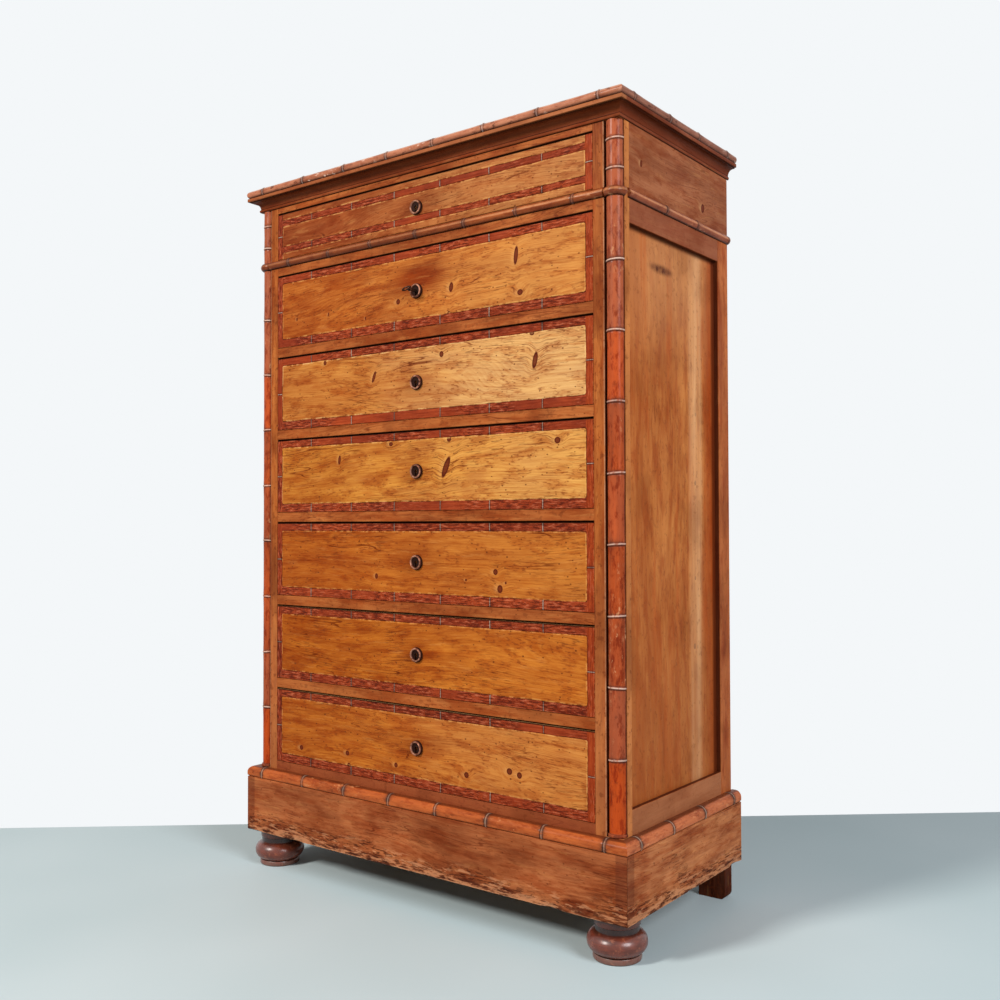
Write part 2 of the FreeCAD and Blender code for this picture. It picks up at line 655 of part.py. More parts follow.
spigot_x, spigot_y = "half - bun_inset", "front + bun_inset"
spigot_hole = rod("spigot_hole", "spigot_radius", "spigot_length", spigot_x, spigot_y, "foot_height")
foot_block = cut("foot_block_bored", block("foot_block_square", ("half - foot_block", "front", "foot_height"),
                                           ("half", "front + foot_block", "block_top")), spigot_hole)
foot_blocks = pair("foot_blocks", foot_block)


def board_section(reach, height):
    """Section of a plain board against the carcass."""
    return [("0", "0"), (reach, "0"), (reach, height), ("0", height)]


plinth_sections = [board_section("plinth_overhang", "plinth_height")] * 2
subpart(bars("plinth_frame", *plinth_sections, "plinth_overhang", "plinth_overhang", "foot_height",
             "plinth_height", more=[foot_blocks]))


def bun_foot():
    """A turned foot: a ring on the floor, the flattened bun, neck and collar, and the spigot that holds it."""
    body = put(doc.addObject("PartDesign::Body", "bun_foot"), spigot_x, spigot_y, "0")
    bun_height = "(foot_height - bun_base_height - bun_neck_height - bun_collar_height)"
    neck = "bun_base - bun_neck"
    belly = f"+{bulge(f'bun_radius - ({neck})', f'{bun_height} / 2')}"
    widest = f"bun_base_height + {bun_height} / 2"
    collar_low = "foot_height - bun_collar_height"
    turned(body, [("0", "0"), ("bun_base", "0"), ("bun_base", "bun_base_height"),
                  (neck, "bun_base_height", belly), ("bun_radius", widest, belly),
                  (neck, f"bun_base_height + {bun_height}"), (neck, collar_low),
                  ("bun_base - bun_neck / 2", collar_low),
                  ("bun_base - bun_neck / 2", "foot_height"), ("spigot_radius", "foot_height"),
                  ("spigot_radius", "foot_height + spigot_length"), ("0", "foot_height + spigot_length")])
    return body


subpart(pair("bun_feet", bun_foot()))


def rear_foot():
    """A plain block with its outer lower corner rounded."""
    body = put(doc.addObject("PartDesign::Body", "rear_foot"),
               "half - rear_foot_width", "back - rear_foot_depth")
    corners = [("0", "0"), ("rear_foot_width - rear_foot_round", "0", "+rear_foot_round"),
               ("rear_foot_width", "rear_foot_round"), ("rear_foot_width", "foot_height"),
               ("0", "foot_height")]
    padded(body, outline(body, "XZ_Plane", corners), "rear_foot_depth", backwards=True)
    return body


subpart(pair("rear_feet", rear_foot()))

# Drawers. A drawer's pieces are placed from the underside of its opening.

def tail_outline(length, height):
    """Outline of a drawer side, from its back end to the dovetails at its front end."""
    count = max(1, math.floor(number(height) / number("tail_pitch")))
    corners = [("0", "0"), (length, "0"), (length, height), ("0", height)]
    for place in reversed(range(count)):
        middle = f"{height} * ({place} + 0.5) / {count}"
        corners += [("0", f"{middle} + tail_neck / 2"), ("-tail_length", f"{middle} + tail_width / 2"),
                    ("-tail_length", f"{middle} - tail_width / 2"), ("0", f"{middle} - tail_neck / 2")]
    return corners


def front_board(name, height, low):
    """The plain front of a drawer, with the edges of its face rounded."""
    body = put(doc.addObject("PartDesign::Body", name), "0", "front", low)
    corners = [("-drawer_half", "0"), ("drawer_half", "0"), ("drawer_half", height), ("-drawer_half", height)]
    pad = padded(body, outline(body, "XZ_Plane", corners), "front_thickness", backwards=True)
    doc.recompute([body])
    depths = [surface.CenterOfMass.y for surface in pad.Shape.Faces]
    rounding = body.newObject("PartDesign::Fillet", "Arris")
    rounding.Base = (pad, [f"Face{depths.index(min(depths)) + 1}"])
    bind(rounding, Radius="arris")
    return body


def keyhole(name, middle, start, length):
    """The round and the slot of a keyhole, as tools for a cut."""
    hole = rod(f"{name}_round", "keyhole_radius", length, "0", start, middle, ACROSS)
    slot = block(f"{name}_slot", ("-keyhole_slot / 2", start, f"{middle} - keyhole_drop"),
                 ("keyhole_slot / 2", f"{start} + {length}", middle))
    return hole, slot


def lock(row, middle, top):
    """A case let into the back of the front, open towards the wood, with the pin that the key turns on."""
    name = f"drawer_{row}_lock"
    case = block(f"{name}_case", ("-lock_width / 2", "lock_front", f"{middle} - lock_drop"),
                 ("lock_width / 2", "front_back", top))
    hollow = block(f"{name}_hollow", ("lock_wall - lock_width / 2", f"lock_front - {SLACK}",
                                      f"{middle} - lock_drop + lock_wall"),
                   ("lock_width / 2 - lock_wall", "plate_front", f"{top} - lock_wall"))
    passage = block(f"{name}_passage", ("-bolt_width / 2 - bolt_play", "bolt_front - bolt_play", middle),
                    ("bolt_width / 2 + bolt_play", "plate_front", f"{top} + {SLACK}"))
    pin = rod(f"{name}_pin", "pin_radius", "pin_length", "0", "plate_front - pin_length", middle, ACROSS)
    return subpart(fuse(name, cut(f"{name}_box", case, hollow, passage), pin))


def escutcheon(row, middle):
    """A round metal boss with a dished floor and a keyhole."""
    name = f"drawer_{row}_escutcheon"
    body = put(doc.addObject("PartDesign::Body", f"{name}_boss"), "0", "front", middle)
    corners = [("0", "0"), ("0", "-boss_dish"), ("boss_floor", "-boss_dish"),
               ("boss_radius - boss_rim", "-boss_height", "+boss_round"), ("boss_radius", "-boss_edge"),
               ("boss_radius", "0")]
    turned(body, corners, plane="XY_Plane")
    start, length = f"front - boss_height - {SLACK}", f"(boss_height + 2 * {SLACK})"
    subpart(cut(name, body, *keyhole(f"{name}_keyhole", middle, start, length)))


def drawer(row):
    """Front, dovetailed sides, back, bottom, escutcheon, lock and bolt of one drawer."""
    name, height = f"drawer_{row}", fronts_height(row)
    low = f"({OPENINGS[row][0]} + drawer_lift)"
    top, middle = f"({low} + {height})", keyhole_height(row)
    side_height, length = f"({height} - side_drop)", "(drawer_back - front_back)"

    bottom_low = f"({low} + bottom_lift)"
    back_low = f"({bottom_low} + bottom_thickness)"
    bottom = subpart(block(f"{name}_bottom",
                           ("-drawer_inside - bottom_tongue", "front_back - bottom_tongue", bottom_low),
                           ("drawer_inside + bottom_tongue", "drawer_back", back_low)))
    side_body = put(doc.addObject("PartDesign::Body", f"{name}_side"), "drawer_inside", "front_back", low)
    padded(side_body, outline(side_body, "YZ_Plane", tail_outline(length, side_height)), "side_thickness")
    side = cut(f"{name}_side_grooved", side_body, bottom)
    other_side = mirror(f"{name}_side_mirrored", side)
    back_board = block(f"{name}_back", ("-drawer_inside", "drawer_back - side_thickness", back_low),
                       ("drawer_inside", "drawer_back", f"{low} + {side_height}"))
    subpart(group(f"{name}_box", side, other_side, back_board))

    lock_recess = block(f"{name}_lock_recess", ("-lock_width / 2", "lock_front", f"{middle} - lock_drop"),
                        ("lock_width / 2", f"front_back + {SLACK}", f"{top} + {SLACK}"))
    tools = keyhole(f"{name}_keyhole", middle, f"front - {SLACK}", f"({SLACK} + front_thickness)")
    subpart(cut(f"{name}_front", front_board(f"{name}_board", height, low), side_body,
                mirror(f"{name}_side_body_mirrored", side_body), bottom, lock_recess, *tools))

    escutcheon(row, middle)
    lock(row, middle, top)
    subpart(block(f"{name}_bolt", ("-bolt_width / 2", "bolt_front", f"{middle} + bolt_tail"),
                  ("bolt_width / 2", "bolt_front + bolt_thickness", top)))


for row in OPENINGS:
    drawer(row)


def key():
    """A pipe key, built along Y with the drawer's face at zero, then put in the lock of drawer 2."""
    bow_reach = "bow_width / 2 - bow_wire"
    bow_path = bind(doc.addObject("Part::Ellipse", "bow_path"), MajorRadius=bow_reach,
                    MinorRadius="bow_length / 2 - bow_wire")
    wire = put(bind(doc.addObject("Part::Circle", "bow_section"), Radius="bow_wire"), bow_reach, turn=ACROSS)
    bow = doc.addObject("Part::Sweep", "bow")
    bow.Sections, bow.Spine, bow.Solid = [wire], (bow_path, ["Edge1"]), True
    put(bow, "0", "-stem_reach - bow_length / 2 + bow_wire")
    end = "(bit_front + bit_width - front)"
    stem = rod("key_stem", "stem_radius", f"stem_reach + {end}", "0", "-stem_reach", "0", ACROSS)
    collar = rod("key_collar", "shoulder_radius", "shoulder_length", "0", "shoulder_place - stem_reach", "0",
                 ACROSS)
    bit = block("key_bit", ("-bit_length", f"{end} - bit_width", "-bit_thickness / 2"),
                ("0", end, "bit_thickness / 2"))
    solid_key = fuse("solid_key", stem, collar, bit, bow)
    bore = rod("key_bore", "pin_radius + pin_play", f"pin_length + pipe_play + {SLACK}", "0",
               "plate_front - pin_length - pipe_play - front", "0", ACROSS)
    bored = cut("key", solid_key, bore)
    put(bored, "0", "front", keyhole_height(2), FreeCAD.Rotation(FreeCAD.Vector(0, -1, 0), 1))
    bored.setExpression(".Placement.Rotation.Angle", formula("key_tilt"))
    return bored


subpart(key())


def failures():
    """Every object that didn't build, and every sub-part that isn't a sound solid."""
    broken = [thing.Name for thing in doc.Objects if {"Invalid", "Error"} & set(thing.State)]
    unsound = [name for name, piece in SUBPARTS.items()
               if piece.Shape.isNull() or not piece.Shape.isValid() or not piece.Shape.Solids]
    return broken + unsound


doc.recompute()
if failures():
    raise SystemExit(f"not built: {', '.join(failures())}")

os.makedirs("parts", exist_ok=True)
for node, piece in SUBPARTS.items():
    piece.Shape.exportStep(f"parts/{node}.step")
print(f"{len(SUBPARTS)} sub-parts, {sum(len(piece.Shape.Solids) for piece in SUBPARTS.values())} solids")
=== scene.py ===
"""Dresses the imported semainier: worn pine, bamboo mouldings, turned feet, iron and brass, and a plain studio.
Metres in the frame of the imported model: +X to the right, +Y to the back, +Z up.
"""

import functools
import math
import operator

import bmesh
import bpy
from mathutils import Matrix, Vector, noise


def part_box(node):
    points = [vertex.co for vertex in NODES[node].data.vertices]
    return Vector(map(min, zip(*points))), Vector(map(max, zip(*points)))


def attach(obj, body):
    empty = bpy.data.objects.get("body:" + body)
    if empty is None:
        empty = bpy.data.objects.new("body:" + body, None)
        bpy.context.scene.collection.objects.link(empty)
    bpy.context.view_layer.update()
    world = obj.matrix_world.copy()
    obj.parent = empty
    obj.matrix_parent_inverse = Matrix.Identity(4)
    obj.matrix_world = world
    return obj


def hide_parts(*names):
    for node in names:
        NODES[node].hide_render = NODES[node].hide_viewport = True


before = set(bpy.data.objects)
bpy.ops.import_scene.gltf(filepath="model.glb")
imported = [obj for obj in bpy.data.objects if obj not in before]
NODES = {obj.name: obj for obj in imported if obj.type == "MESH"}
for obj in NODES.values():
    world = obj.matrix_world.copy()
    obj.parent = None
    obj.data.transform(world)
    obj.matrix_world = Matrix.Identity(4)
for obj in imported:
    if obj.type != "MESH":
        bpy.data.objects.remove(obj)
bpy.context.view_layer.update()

MM = 0.001
ROWS = range(1, 8)
SIDES = (("right", 1), ("left", -1))


def span(node, axis):
    """Lowest and highest place of a node along an axis. Rounding takes off the mesh's single precision."""
    return [round(getattr(corner, axis), 6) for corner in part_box(node)]


# Places of the solids, from the frame.
FRONT = span("corner_posts", "y")[0]
HALF = span("corner_posts", "x")[1]
BACK = span("back_panel", "y")[1]
FAR_BACK = span("top_board", "y")[1]
DRAWER_HALF = span("drawer_1_front", "x")[1]
FRONT_SPAN = {row: span(f"drawer_{row}_front", "z") for row in ROWS}
FRONT_LOW = {row: FRONT_SPAN[row][0] for row in ROWS}
FRONT_HEIGHT = {row: round(FRONT_SPAN[row][1] - FRONT_LOW[row], 6) for row in ROWS}
BOSS_MIDDLE = {row: round(sum(span(f"drawer_{row}_escutcheon", "z")) / 2, 6) for row in ROWS}
PLINTH_LOW = span("plinth_frame", "z")[0]
ROLL_LOW = span("plinth_roll", "z")[0]
COLUMN_LOW, CORNICE_LOW = span("corner_column_right", "z")
EDGING_LOW = span("top_board", "z")[0]

# Places and sizes inside the nodes, as the part has them.
COLUMN = Vector((0.4395, -0.17845, 0))
COLUMN_RADIUS = 0.015
COLUMN_NODE = 0.3365
COLUMN_PITCH = 0.1205
NOTCH_EDGE = COLUMN.x - COLUMN_RADIUS - 0.0003
WAIST_LOW = 1.288
WAIST_HIGH = 1.305
BACK_BOARD = 0.172
FRAME_FRONT = -0.1604
FRAME_BACK = 0.1806
LOWER_RAIL_TOP = 0.2507
UPPER_RAIL_LOW = 1.2475
ARRIS = 0.0012

# Borders of the drawer fronts.
SIDE_BAND = 0.015
LOW_BAND = 0.018
HIGH_BAND = 0.016
NODE_STEP = 0.1185
NARROW_BAND = 0.0135
NARROW_INSET = 0.0135
FIELD_CORNER = 0.004
WORN_RIM = 0.0018


# Materials are written as arithmetic on signals.

def operation(name):
    return lambda self, *others: self.shader.math(name, self, *others)


class Signal:
    """A number, a vector or a colour inside a material. Arithmetic and calls on it add nodes. Of two masks, &
    gives where both are and | where either is."""

    def __init__(self, shader, socket):
        self.shader = shader
        self.socket = socket

    __add__ = __radd__ = operation("ADD")
    __sub__ = operation("SUBTRACT")
    __mul__ = __rmul__ = operation("MULTIPLY")
    __truediv__ = operation("DIVIDE")
    __and__ = operation("MINIMUM")
    __or__ = operation("MAXIMUM")
    __abs__ = operation("ABSOLUTE")
    part = operation("FRACT")

    def __rsub__(self, other):
        return self.shader.math("SUBTRACT", other, self)

    def step(self, start, end):
        """0 up to start and 1 from end, smooth between. A start above end turns it round."""
        inputs = {"Value": self, "From Min": start, "From Max": end}
        return self.shader.node("ShaderNodeMapRange", inputs, interpolation_type="SMOOTHSTEP")

    def line(self, width):
        """1 where the signal is 0, and 0 from this width away."""
        return abs(self).step(width, width * 0.35)

    def random(self):
        """A random number from 0 to 1 for each whole number."""
        inputs = {"W": self.shader.math("FLOOR", self)}
        return self.shader.node("ShaderNodeTexWhiteNoise", inputs, "Value", noise_dimensions="1D")

    def coat(self, share, colour):
        """This colour under another one, which covers it by this share."""
        return self.shader.mix(share, self, colour)

    def tint(self, share, colour):
        """This colour multiplied by another one, by this share."""
        return self.shader.mix(share, self, colour, "MULTIPLY")


def length(a, b):
    return a.shader.math("SQRT", a * a + b * b)


def highest(masks):
    return functools.reduce(operator.or_, masks)


def paint(colour):
    """A colour given as 0 to 255 in sRGB, as a linear one. A signal stays as it is."""
    if isinstance(colour, Signal):
        return colour
    linear = [(c / 255 / 12.92) if c <= 10 else ((c / 255 + 0.055) / 1.055) ** 2.4 for c in colour]
    return (*linear, 1.0)


class Nodes:
    """A node tree that calls add to."""

    def __init__(self, tree):
        self.tree = tree
        tree.nodes.clear()

    def put(self, socket, value):
        if isinstance(value, Signal):
            self.tree.links.new(value.socket, socket)
        else:
            socket.default_value = value

    def node(self, kind, inputs=None, output=0, **settings):
        """Adds a node and returns one of its outputs. inputs has values or signals by a socket's name or
        number."""
        made = self.tree.nodes.new(kind)
        for key, value in settings.items():
            setattr(made, key, value)
        for key, value in (inputs or {}).items():
            self.put(made.inputs[key], value)
        return Signal(self, made.outputs[output])

    def math(self, operation, *values):
        return self.node("ShaderNodeMath", dict(enumerate(values)), operation=operation)


class Shader(Nodes):
    """A material with one Principled surface."""

    def __init__(self, name):
        self.material = bpy.data.materials.new(name)
        self.material.use_nodes = True
        super().__init__(self.material.node_tree)
        self.surface = self.tree.nodes.new("ShaderNodeBsdfPrincipled")
        output = self.tree.nodes.new("ShaderNodeOutputMaterial")
        self.tree.links.new(self.surface.outputs[0], output.inputs[0])
        self.place = self.node("ShaderNodeTexCoord", output="Object")
        self.x, self.y, self.z = [self.node("ShaderNodeSeparateXYZ", {0: self.place}, i) for i in range(3)]

    def ways(self, axes):
        return [getattr(self, axis) for axis in axes]

    def vector(self, x, y, z):
        return self.node("ShaderNodeCombineXYZ", {0: x, 1: y, 2: z})

    def field(self, vector, scale, detail, roughness):
        """Noise from 0 to 1, stretched to use that range."""
        inputs = {"Vector": vector, "Scale": scale, "Detail": detail, "Roughness": roughness}
        return self.node("ShaderNodeTexNoise", inputs, noise_dimensions="3D").step(0.28, 0.72)

    def noise(self, x, y, z, detail=2.0, roughness=0.5):
        return self.field(self.vector(x, y, z), 1.0, detail, roughness)

    def clouds(self, scale, detail=2.0, roughness=0.5):
        """Noise of the same scale every way."""
        return self.field(self.place, scale, detail, roughness)

    def drawn(self, axes, seed, long, wide, detail=3.0, roughness=0.6):
        """Noise drawn out along the first of three axes."""
        along, across, deep = self.ways(axes)
        return self.noise(along * long + seed, across * wide, deep * wide, detail, roughness)

    def dots(self, ways, squeeze, scale, radius, seed):
        """Small spots, squeezed along the first way, in some of the cells of a random pattern."""
        along, across, deep = ways
        vector = self.vector(along * squeeze, across, deep)
        shifted = self.node("ShaderNodeVectorMath", {0: vector, 1: (seed, seed, seed)}, operation="ADD")
        inputs = {"Vector": shifted, "Scale": scale}
        cells = self.node("ShaderNodeTexVoronoi", inputs, "Distance", voronoi_dimensions="3D")
        return cells.step(radius, radius * 0.6)

    def mark(self, name):
        """A number that the mesh carries at its points."""
        return self.node("ShaderNodeAttribute", output="Fac", attribute_name=name)

    def mix(self, share, low, high, blend="MIX"):
        inputs = {0: share, 6: paint(low), 7: paint(high)}
        return self.node("ShaderNodeMix", inputs, 2, data_type="RGBA", blend_type=blend)

    def finish(self, colour, roughness, height=None, depth=0.0003, coat=0.0, metallic=0.0, specular=0.03):
        values = {"Base Color": paint(colour), "Roughness": roughness, "Metallic": metallic,
                  "Specular IOR Level": specular, "Coat Weight": coat, "Coat Roughness": 0.25}
        if height is not None:
            values["Normal"] = self.node("ShaderNodeBump", {"Distance": depth, "Height": height})
        for key, value in values.items():
            self.put(self.surface.inputs[key], value)
        return self.material


# Wood.

DUSK = (92, 38, 16)
BAMBOO_PALE = (222, 160, 112)


def knot_marks(along, across, knots):
    """Cores, pale eyes and the pull on the grain of knots: (along, across, half width, half height, lean)."""
    cores, eyes, pulls = [], [], []
    for place, height, wide, tall, lean in knots:
        up = across - height
        forward = along - place - up * lean
        distance = length(forward / wide, up / tall)
        cores.append(distance.step(1.25, 0.95) * (distance.step(0.4, 1.0) * 0.06 + 0.94))
        eyes.append(length((forward + wide * 0.9) / (wide * 2.6), up / (tall * 1.7)).step(1.0, 0.2))
        pulls.append(distance.step(5.0, 0.0) * (wide * 1.5))
    return highest(cores), highest(eyes), highest(pulls)


def grain(shader, ways, light, dark, seed, spacing, pith=0.05, tilt=0.06, knots=(), contrast=0.35, fine=1.0,
          under=None):
    """Old waxed pine: soft clouds drawn out along the board, fibres, faint rings round a tilted pith, short
    dark dashes, cracks and small holes. ways are the places along the grain, across it and into the board.
    under changes the colour beneath the fibres. Returns a colour and a height."""
    along, across, deep = ways
    drift = shader.noise(along * 1.6 + seed, across * 5 + seed, deep * 5, 1.0)
    bent = across + drift * 0.03
    if knots:
        core, eye, pull = knot_marks(along, across, knots)
        bent = bent + pull

    def drawn(long, wide, detail=3.0, roughness=0.6, shift=0.0):
        return shader.noise(along * long + (seed + shift), bent * wide + seed, deep * wide, detail, roughness)

    tone = shader.mix(drawn(6, 26) * 0.85 + drift * 0.15, light, dark)
    tone = tone.tint(drawn(11, 38, 2.0).step(0.45, 1.0) * 0.55, (216, 164, 124))
    if under:
        tone = under(tone)
    fibres = drawn(9, 330, 4.0, 0.7)
    streaks = drawn(5, 130, 4.0, 0.7)
    dabs = drawn(13, 110, 4.0, 0.7, 3.0)
    threads = (drawn(3.2, 70, 3.0, 0.6, 11.0) - 0.5).line(0.05)
    away = length(bent + drift * 0.06 + seed * 0.003, deep + along * tilt + pith)
    ring = (away / spacing).part()
    late = ring.step(0.2, 0.9) * ring.step(1.0, 0.9) * streaks
    darker = fibres * 0.26 + streaks * 0.16 + dabs.step(0.55, 0.95) * 0.24 + late * contrast
    blotch = drawn(16, 44, 3.0, 0.6, 17.0)
    ticks = drawn(84, 360, 2.0, 0.5, 23.0).step(0.7, 0.84) * blotch.step(0.35, 0.7)
    patch = shader.noise(along * 5 + seed * 3, across * 12, deep * 12, 1.0)
    crack = (drawn(2.2, 26, 2.0, 0.5, 7.0) - 0.5).line(0.022) * patch.step(0.5, 0.8)
    dashes = drawn(34, 420, 2.0, 0.5).step(0.74, 0.92) * patch.step(0.4, 0.85)
    holes = shader.dots(ways, 0.7, 80.0, 0.13, seed) | shader.dots(ways, 0.8, 34.0, 0.075, seed + 3.0)
    flecks = (dashes * 0.6 | holes * 0.9) * fine
    tone = (tone.tint(darker * fine, (204, 156, 116))
            .tint(threads * streaks * (0.6 * fine), (170, 112, 76))
            .coat(dabs.step(0.3, 0.05) * (0.08 * fine), (246, 186, 108))
            .tint(blotch.step(0.45, 0.9) * (0.42 * fine), (206, 148, 108))
            .coat(ticks * (0.6 * fine), (116, 52, 20))
            .tint(crack * (0.75 * fine), (150, 92, 62))
            .coat(flecks * 0.8, (82, 32, 10)))
    if knots:
        tone = (tone.coat(eye * 0.22, shader.mix(0.5, light, (250, 204, 136)))
                .coat(core, (96, 32, 14))
                .coat(core.step(0.95, 1.0) * 0.6, (52, 16, 8)))
    return tone, fibres * 0.3 - flecks * 0.9 + streaks * 0.2 - crack * 0.5


def timber(name, axes, light, dark, seed, roughness, stain, spacing=0.0042, knots=(), tilt=0.06,
           contrast=0.3, tone=None, grime_and_shade=None, fine=0.8):
    """A plain board's wood. axes names the ways along the grain, across it and into the board. fine scales
    the fibres and marks."""
    shader = Shader(name)
    colour, height = grain(shader, shader.ways(axes), light, dark, seed, spacing, tilt=tilt, knots=knots,
                           contrast=contrast, fine=fine)
    if tone:
        colour = tone(shader, colour)
    cloud = shader.clouds(7.0, 4.0, 0.6)
    spots = shader.clouds(90.0, 2.0, 0.6)
    colour = colour.coat(cloud.step(0.5, 1.0) * stain, DUSK).coat(spots.step(0.78, 1.0) * stain, DUSK)
    # For the rails, the mask given here is painted shade: near black in the drawer openings.
    if grime_and_shade:
        colour = colour.coat(grime_and_shade(shader), (30, 12, 6))
    return shader.finish(colour, cloud * 0.14 + (roughness - 0.07), height)


def bamboo(name, axes, light, dark, pale, seed, pale_wear, silver, tone, roughness=0.36, coat=0.12,
           grime_and_shade=0.6, crest_colour=(204, 192, 182), mottled=0.5, flecked=0.7):
    """Turned pine stained like bamboo. The mesh marks its nodes with crest, line and near."""
    shader = Shader(name)
    drawn = functools.partial(shader.drawn, axes, seed)
    streaks = drawn(9, 240)
    cloud = drawn(16, 60, 4.0, 0.65)
    patch = drawn(4.5, 9, 1.0)
    blotch = drawn(38, 110, 4.0, 0.7)
    flecks = drawn(52, 110, 3.0, 0.65)
    worn = flecks.step(0.8, 0.98) * patch.step(0.5, 0.9)
    scuffs = blotch.step(0.26, 0.06) * patch.step(0.6, 0.95)
    dark_flecks = flecks.step(0.22, 0.08) * cloud.step(0.3, 0.8)
    near = shader.mark("near") * cloud.step(0.1, 0.75)
    close = shader.mark("near").step(0.62, 0.9) * (blotch * 0.6 + 0.4)
    line = shader.mark("line") * (streaks * 0.3 + 0.7)
    crest = shader.mark("crest") * (blotch.step(0.15, 0.5) * 0.65 + 0.35)
    colour = shader.mix(streaks * 0.35 + cloud * 0.5, light, dark)
    colour = colour.coat(patch * 0.35, shader.mix(0.5, dark, (110, 40, 18)))
    colour = (tone(shader, colour)
              .tint(blotch.step(0.45, 0.95) * mottled, (190, 140, 116))
              .coat(worn * pale_wear, pale)
              .coat(scuffs * pale_wear * 0.35, pale)
              .coat(dark_flecks * flecked, (56, 22, 12))
              .coat(near * grime_and_shade, (74, 38, 26))
              .coat(close * grime_and_shade * 0.8, (92, 60, 48))
              .coat(line * 0.9, (28, 12, 9))
              .coat(crest * silver, crest_colour))
    height = streaks * 0.4 - worn * 0.6 - dark_flecks - blotch * 0.3
    return shader.finish(colour, cloud * 0.18 + (roughness - 0.09), height, coat=coat)


def field_span(row):
    """Middle and half height of the plain field of a tall drawer."""
    top = FRONT_HEIGHT[row] - HIGH_BAND
    return (LOW_BAND + top) / 2, (top - LOW_BAND) / 2


def border_shape(row, x, up, wobble):
    """How far a point lies inside the border of a drawer front."""
    ends = DRAWER_HALF - SIDE_BAND
    if row == 1:
        lower = abs(up - (NARROW_INSET + NARROW_BAND / 2))
        upper = abs(up - (FRONT_HEIGHT[row] - NARROW_INSET - NARROW_BAND / 2))
        bars = (lower & upper) - NARROW_BAND / 2
        return (bars & (ends - abs(x))) * -1.0 + wobble
    middle, reach = field_span(row)
    a = abs(x) - (ends - FIELD_CORNER)
    b = abs(up - middle) - (reach - FIELD_CORNER)
    return length(a | 0.0, b | 0.0) + ((a | b) & 0.0) - FIELD_CORNER + wobble


def border_wood(shader, row, scratched, broad):
    """The red-brown border, gouged like bamboo, with a pale chipped bar at each node. Returns a colour and a
    height."""
    x, z = shader.x, shader.z
    seed = float(row)
    on_side = abs(x).step(DRAWER_HALF - SIDE_BAND - 0.001, DRAWER_HALF - SIDE_BAND + 0.001)
    on_right = on_side * x.step(0.0, 0.1)

    def drawn(long, wide, detail, sharp, shift):
        flat = shader.noise(x * long + seed, z * wide, shift, detail, sharp)
        upright = shader.noise(x * wide, z * long + seed, shift, detail, sharp)
        return flat + (upright - flat) * on_side

    rough = shader.noise(x * 6 + seed * 5, z * 7, seed, 1.0)
    rough = rough.step(0.7 - scratched, 1.2 - scratched) * (1.0 - on_right * 0.5)
    fibre = drawn(16, 330, 4.0, 0.7, 0.0)
    gouge = drawn(52, 300, 4.0, 0.7, 2.0)
    mottle = drawn(30, 60, 3.0, 0.6, 5.0)
    cut = gouge.step(0.56, 0.76) * rough
    scuffed = gouge.step(0.34, 0.16) * (rough * 0.8 + 0.1)
    at_node = abs((x / NODE_STEP).part() - 0.5) * NODE_STEP
    half_way = abs(z - (FRONT_LOW[row] + FRONT_HEIGHT[row] / 2))
    at_node = at_node + (half_way - at_node) * on_side
    picked = (x / NODE_STEP + row * 7.0).random()
    chipped_bar = (gouge.step(0.9, 0.35) * 0.6 + 0.4) * (picked * 0.7 + 0.3)
    colour = (shader.mix(broad * 0.6 + mottle * 0.4, (170, 72, 36), (124, 46, 26))
              .coat(on_right * 0.6, (164, 66, 26))
              .tint(fibre * 0.7, (176, 124, 104))
              .coat(cut * 0.65, (54, 18, 14))
              .coat(scuffed * 0.38, (214, 128, 92))
              .coat(at_node.line(0.003) * 0.7, (36, 14, 10))
              .coat(at_node.line(0.001) * chipped_bar * 0.75, (214, 184, 164)))
    return colour, fibre * 0.5 - cut * 1.2 + scuffed * 0.4


